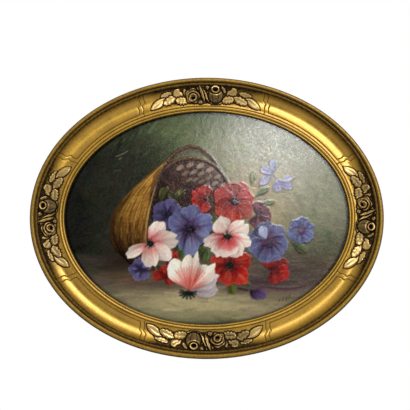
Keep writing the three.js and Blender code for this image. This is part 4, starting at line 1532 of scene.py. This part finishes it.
def weave_group():
    """Plain weave: two sets of threads, each showing where it passes over the other."""
    vector, value = "NodeSocketVector", "NodeSocketFloat"
    tree, given, out = new_group(
        "Linen Weave", [("Place", vector, None), ("Threads", value, 900.0)], [("Height", value)]
    )
    wobble = add_node(
        tree, "ShaderNodeTexNoise", {"Vector": given.outputs["Place"], "Scale": 60.0}
    ).outputs["Color"]
    nudge = add_node(
        tree, "ShaderNodeVectorMath", {0: wobble, 1: (0.0012, 0.0012, 0.0012)}, operation="MULTIPLY"
    ).outputs[0]
    moved = add_node(
        tree, "ShaderNodeVectorMath", {0: given.outputs["Place"], 1: nudge}, operation="ADD"
    ).outputs[0]
    parts = add_node(tree, "ShaderNodeSeparateXYZ", {0: moved}).outputs
    turns = maths(tree, "MULTIPLY", given.outputs["Threads"], math.pi)
    warp = maths(tree, "SINE", maths(tree, "MULTIPLY", parts["X"], turns))
    weft = maths(tree, "SINE", maths(tree, "MULTIPLY", parts["Z"], turns))
    over = maths(tree, "MULTIPLY", warp, weft)
    tree.links.new(maths(tree, "ADD", maths(tree, "MULTIPLY", over, 0.5), 0.5), out.inputs["Height"])
    return tree


def canvas_material(settings):
    material, tree, shader = new_material("Oil paint on linen")
    place = add_node(tree, "ShaderNodeTexCoord").outputs["Object"]
    weave = add_node(
        tree, "ShaderNodeGroup", {"Place": place, "Threads": settings.threads}, node_tree=weave_group()
    ).outputs[0]
    lumps = noise(tree, place, 330.0, 3.0, 0.6)
    slubs = noise(tree, stretched(tree, place, (60.0, 60.0, 500.0)), 1.0, 2.0, 0.5)
    paint = attribute(tree, "paint", "Color")
    painted = attribute(tree, "painted")
    bristle = noise(tree, stretched(tree, place, (700.0, 700.0, 260.0)), 1.0, 3.0, 0.6)
    lightness = spread(
        tree, maths(tree, "ADD", bristle, maths(tree, "MULTIPLY", lumps, 0.6)), 0.55, 1.05, 0.9, 1.1
    )
    paint = mix_colour(tree, 1.0, paint, grey(tree, lightness), "MULTIPLY")
    linen = mix_colour(tree, weave, (0.16, 0.115, 0.065, 1), (0.36, 0.28, 0.17, 1))
    linen = mix_colour(tree, spread(tree, slubs, 0.5, 0.7, 0.0, 0.35), linen, (0.2, 0.15, 0.09, 1))
    gloss = spread(
        tree, lumps, 0.3, 0.7, settings.varnish_roughness - 0.05, settings.varnish_roughness + 0.07
    )
    rough = add_node(
        tree, "ShaderNodeMix", {"Factor": painted, "A": 0.9, "B": gloss}, data_type="FLOAT"
    ).outputs[0]
    height = maths(tree, "ADD", maths(tree, "MULTIPLY", weave, 0.45), maths(tree, "MULTIPLY", lumps, 0.8))
    height = maths(tree, "ADD", height, maths(tree, "MULTIPLY", bristle, 0.25))
    give(tree, shader, {
        "Base Color": mix_colour(tree, painted, linen, paint),
        "Roughness": rough,
        "IOR": 1.5,
        "Normal": bumped(tree, height, 0.7, 0.00009),
    })
    return material


class OBJECT_OT_oval_canvas(bpy.types.Operator):
    """Paints the still life and stretches its linen over the strainer"""

    bl_idname = "oval_painting.canvas"
    bl_label = "Canvas"

    def execute(self, context):
        settings = context.scene.oval_canvas
        picture = paint_picture(settings.seed)
        piece = new_piece(
            "canvas_cloth", canvas_mesh(picture), [canvas_material(settings)], "canvas"
        )
        return {"FINISHED"}


class OBJECT_OT_oval_fittings(bpy.types.Operator):
    """Gives the strainer its old wood, and the plate, screws and nails their steel"""

    bl_idname = "oval_painting.fittings"
    bl_label = "Strainer and Fittings"

    def execute(self, context):
        pine = wood_material(
            "Browned pine", bpy.data.node_groups["Bare Wood"], (0.38, 0.22, 0.1), (0.15, 0.075, 0.032)
        )
        steel = steel_material("Dull steel")
        for name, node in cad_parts.items():
            if name == "strainer":
                self.coat(node, pine)
            elif name.startswith(("nail_", "hanger_")):
                self.coat(node, steel)
        return {"FINISHED"}

    def coat(self, node, material):
        node.data.materials.clear()
        node.data.materials.append(material)


# ---- The stage ----
# In metres. The floor lies this far below the frame, and the dark card stands behind the camera.

FLOOR_DROP = 0.9
CARD_PLACE = (0, -2.4, 0.05)


class OBJECT_OT_oval_stage(bpy.types.Operator):
    """Sets up the floor, the soft lights and the camera"""

    bl_idname = "oval_painting.stage"
    bl_label = "Stage"

    def execute(self, context):
        settings = context.scene.oval_stage
        self.add_boards()
        self.add_lights()
        self.add_camera(context.scene, settings)
        self.add_room(context.scene)
        return {"FINISHED"}

    def add_room(self, scene):
        """A dim room to light the piece and shine in the gold, in front of a plain white backdrop."""
        world = bpy.data.worlds.new("Soft room")
        world.use_nodes = True
        tree = world.node_tree
        seen = add_node(tree, "ShaderNodeLightPath").outputs["Is Camera Ray"]
        strength = spread(tree, seen, 0.0, 1.0, 0.45, 1.0)
        shade = mix_colour(tree, seen, (1.0, 0.95, 0.87, 1.0), (1.0, 1.0, 1.0, 1.0))
        give(tree, tree.nodes["Background"], {"Color": shade, "Strength": strength})
        scene.world = world
        scene.view_settings.view_transform = "Standard"

    def add_board(self, name, finish, colour, half_width, tilt, place):
        """A dull square board, tilted about its left-to-right axis."""
        bm = bmesh.new()
        bmesh.ops.create_grid(bm, x_segments=1, y_segments=1, size=half_width)
        bmesh.ops.rotate(bm, verts=bm.verts, matrix=Matrix.Rotation(math.radians(tilt), 3, "X"))
        bmesh.ops.translate(bm, verts=bm.verts, vec=place)
        mesh = bpy.data.meshes.new(name)
        bm.to_mesh(mesh)
        bm.free()
        material, tree, shader = new_material(finish)
        give(tree, shader, {"Base Color": rgba(colour), "Roughness": 0.9})
        mesh.materials.append(material)
        board = bpy.data.objects.new(name, mesh)
        bpy.context.collection.objects.link(board)
        return board

    def add_boards(self):
        """The floor, and a card behind the camera so that the varnish mirrors little of the room."""
        floor_place = (0, 0, CAD_LOW.z - FLOOR_DROP)
        floor = self.add_board("floor", "Pale floor", (0.85, 0.85, 0.84), 3.0, 0, floor_place)
        card = self.add_board("dark_card", "Dark card", (0.03, 0.03, 0.03), 1.0, 90, CARD_PLACE)
        card.visible_camera = False

    def add_light(self, name, place, size, power, colour=(1, 1, 1)):
        light = bpy.data.lights.new(name, "AREA")
        light.shape = "RECTANGLE"
        light.size, light.size_y = size
        light.energy = power
        light.color = colour
        lamp = bpy.data.objects.new(name, light)
        middle = Vector((0, 0, CENTRE_Z * MM))
        lamp.location = middle + Vector(place)
        lamp.rotation_euler = (-Vector(place)).to_track_quat("-Z", "Y").to_euler()
        bpy.context.collection.objects.link(lamp)

    def add_lights(self):
        self.add_light("key", (0.75, -1.6, 0.85), (1.4, 1.4), 19.0, (1.0, 0.98, 0.95))
        self.add_light("glare", (0.2, -1.62, 0.4), (0.2, 0.14), 2.6, (0.93, 0.97, 1.0))

    def add_camera(self, scene, settings):
        data = bpy.data.cameras.new("camera")
        data.sensor_width = 36.0
        data.lens = 82.3
        data.shift_x = -0.0044
        data.shift_y = 0.0295
        camera = bpy.data.objects.new("camera", data)
        middle = Vector((0, -0.0137, CENTRE_Z * MM))
        rise = settings.camera_rise
        away = Vector((0, -math.cos(rise), math.sin(rise))) * settings.camera_distance
        camera.location = middle + away
        camera.rotation_euler = (-away).to_track_quat("-Z", "Y").to_euler()
        bpy.context.collection.objects.link(camera)
        scene.camera = camera


class VIEW3D_PT_oval_painting(bpy.types.Panel):
    """Lists the pieces that can be built"""

    bl_label = "Oval Painting"
    bl_idname = "VIEW3D_PT_oval_painting"
    bl_space_type = "VIEW_3D"
    bl_region_type = "UI"
    bl_category = "Oval Painting"

    def draw(self, context):
        for operator in OPERATORS:
            self.layout.operator(operator.bl_idname)


OPERATORS = (
    OBJECT_OT_oval_stage,
    OBJECT_OT_oval_frame,
    OBJECT_OT_oval_castings,
    OBJECT_OT_oval_canvas,
    OBJECT_OT_oval_fittings,
)
SETTINGS = {
    "oval_frame": FrameSettings,
    "oval_casting": CastingSettings,
    "oval_canvas": CanvasSettings,
    "oval_stage": StageSettings,
}


def register():
    for kind in (*SETTINGS.values(), *OPERATORS, VIEW3D_PT_oval_painting):
        bpy.utils.register_class(kind)
    for name, kind in SETTINGS.items():
        setattr(bpy.types.Scene, name, bpy.props.PointerProperty(type=kind))


def unregister():
    for name in SETTINGS:
        delattr(bpy.types.Scene, name)
    for kind in (VIEW3D_PT_oval_painting, *reversed(OPERATORS), *reversed(SETTINGS.values())):
        bpy.utils.unregister_class(kind)


def main():
    register()
    bpy.ops.oval_painting.stage()
    bpy.ops.oval_painting.frame()
    bpy.ops.oval_painting.castings()
    bpy.ops.oval_painting.canvas()
    bpy.ops.oval_painting.fittings()


if __name__ == "__main__":
    main()
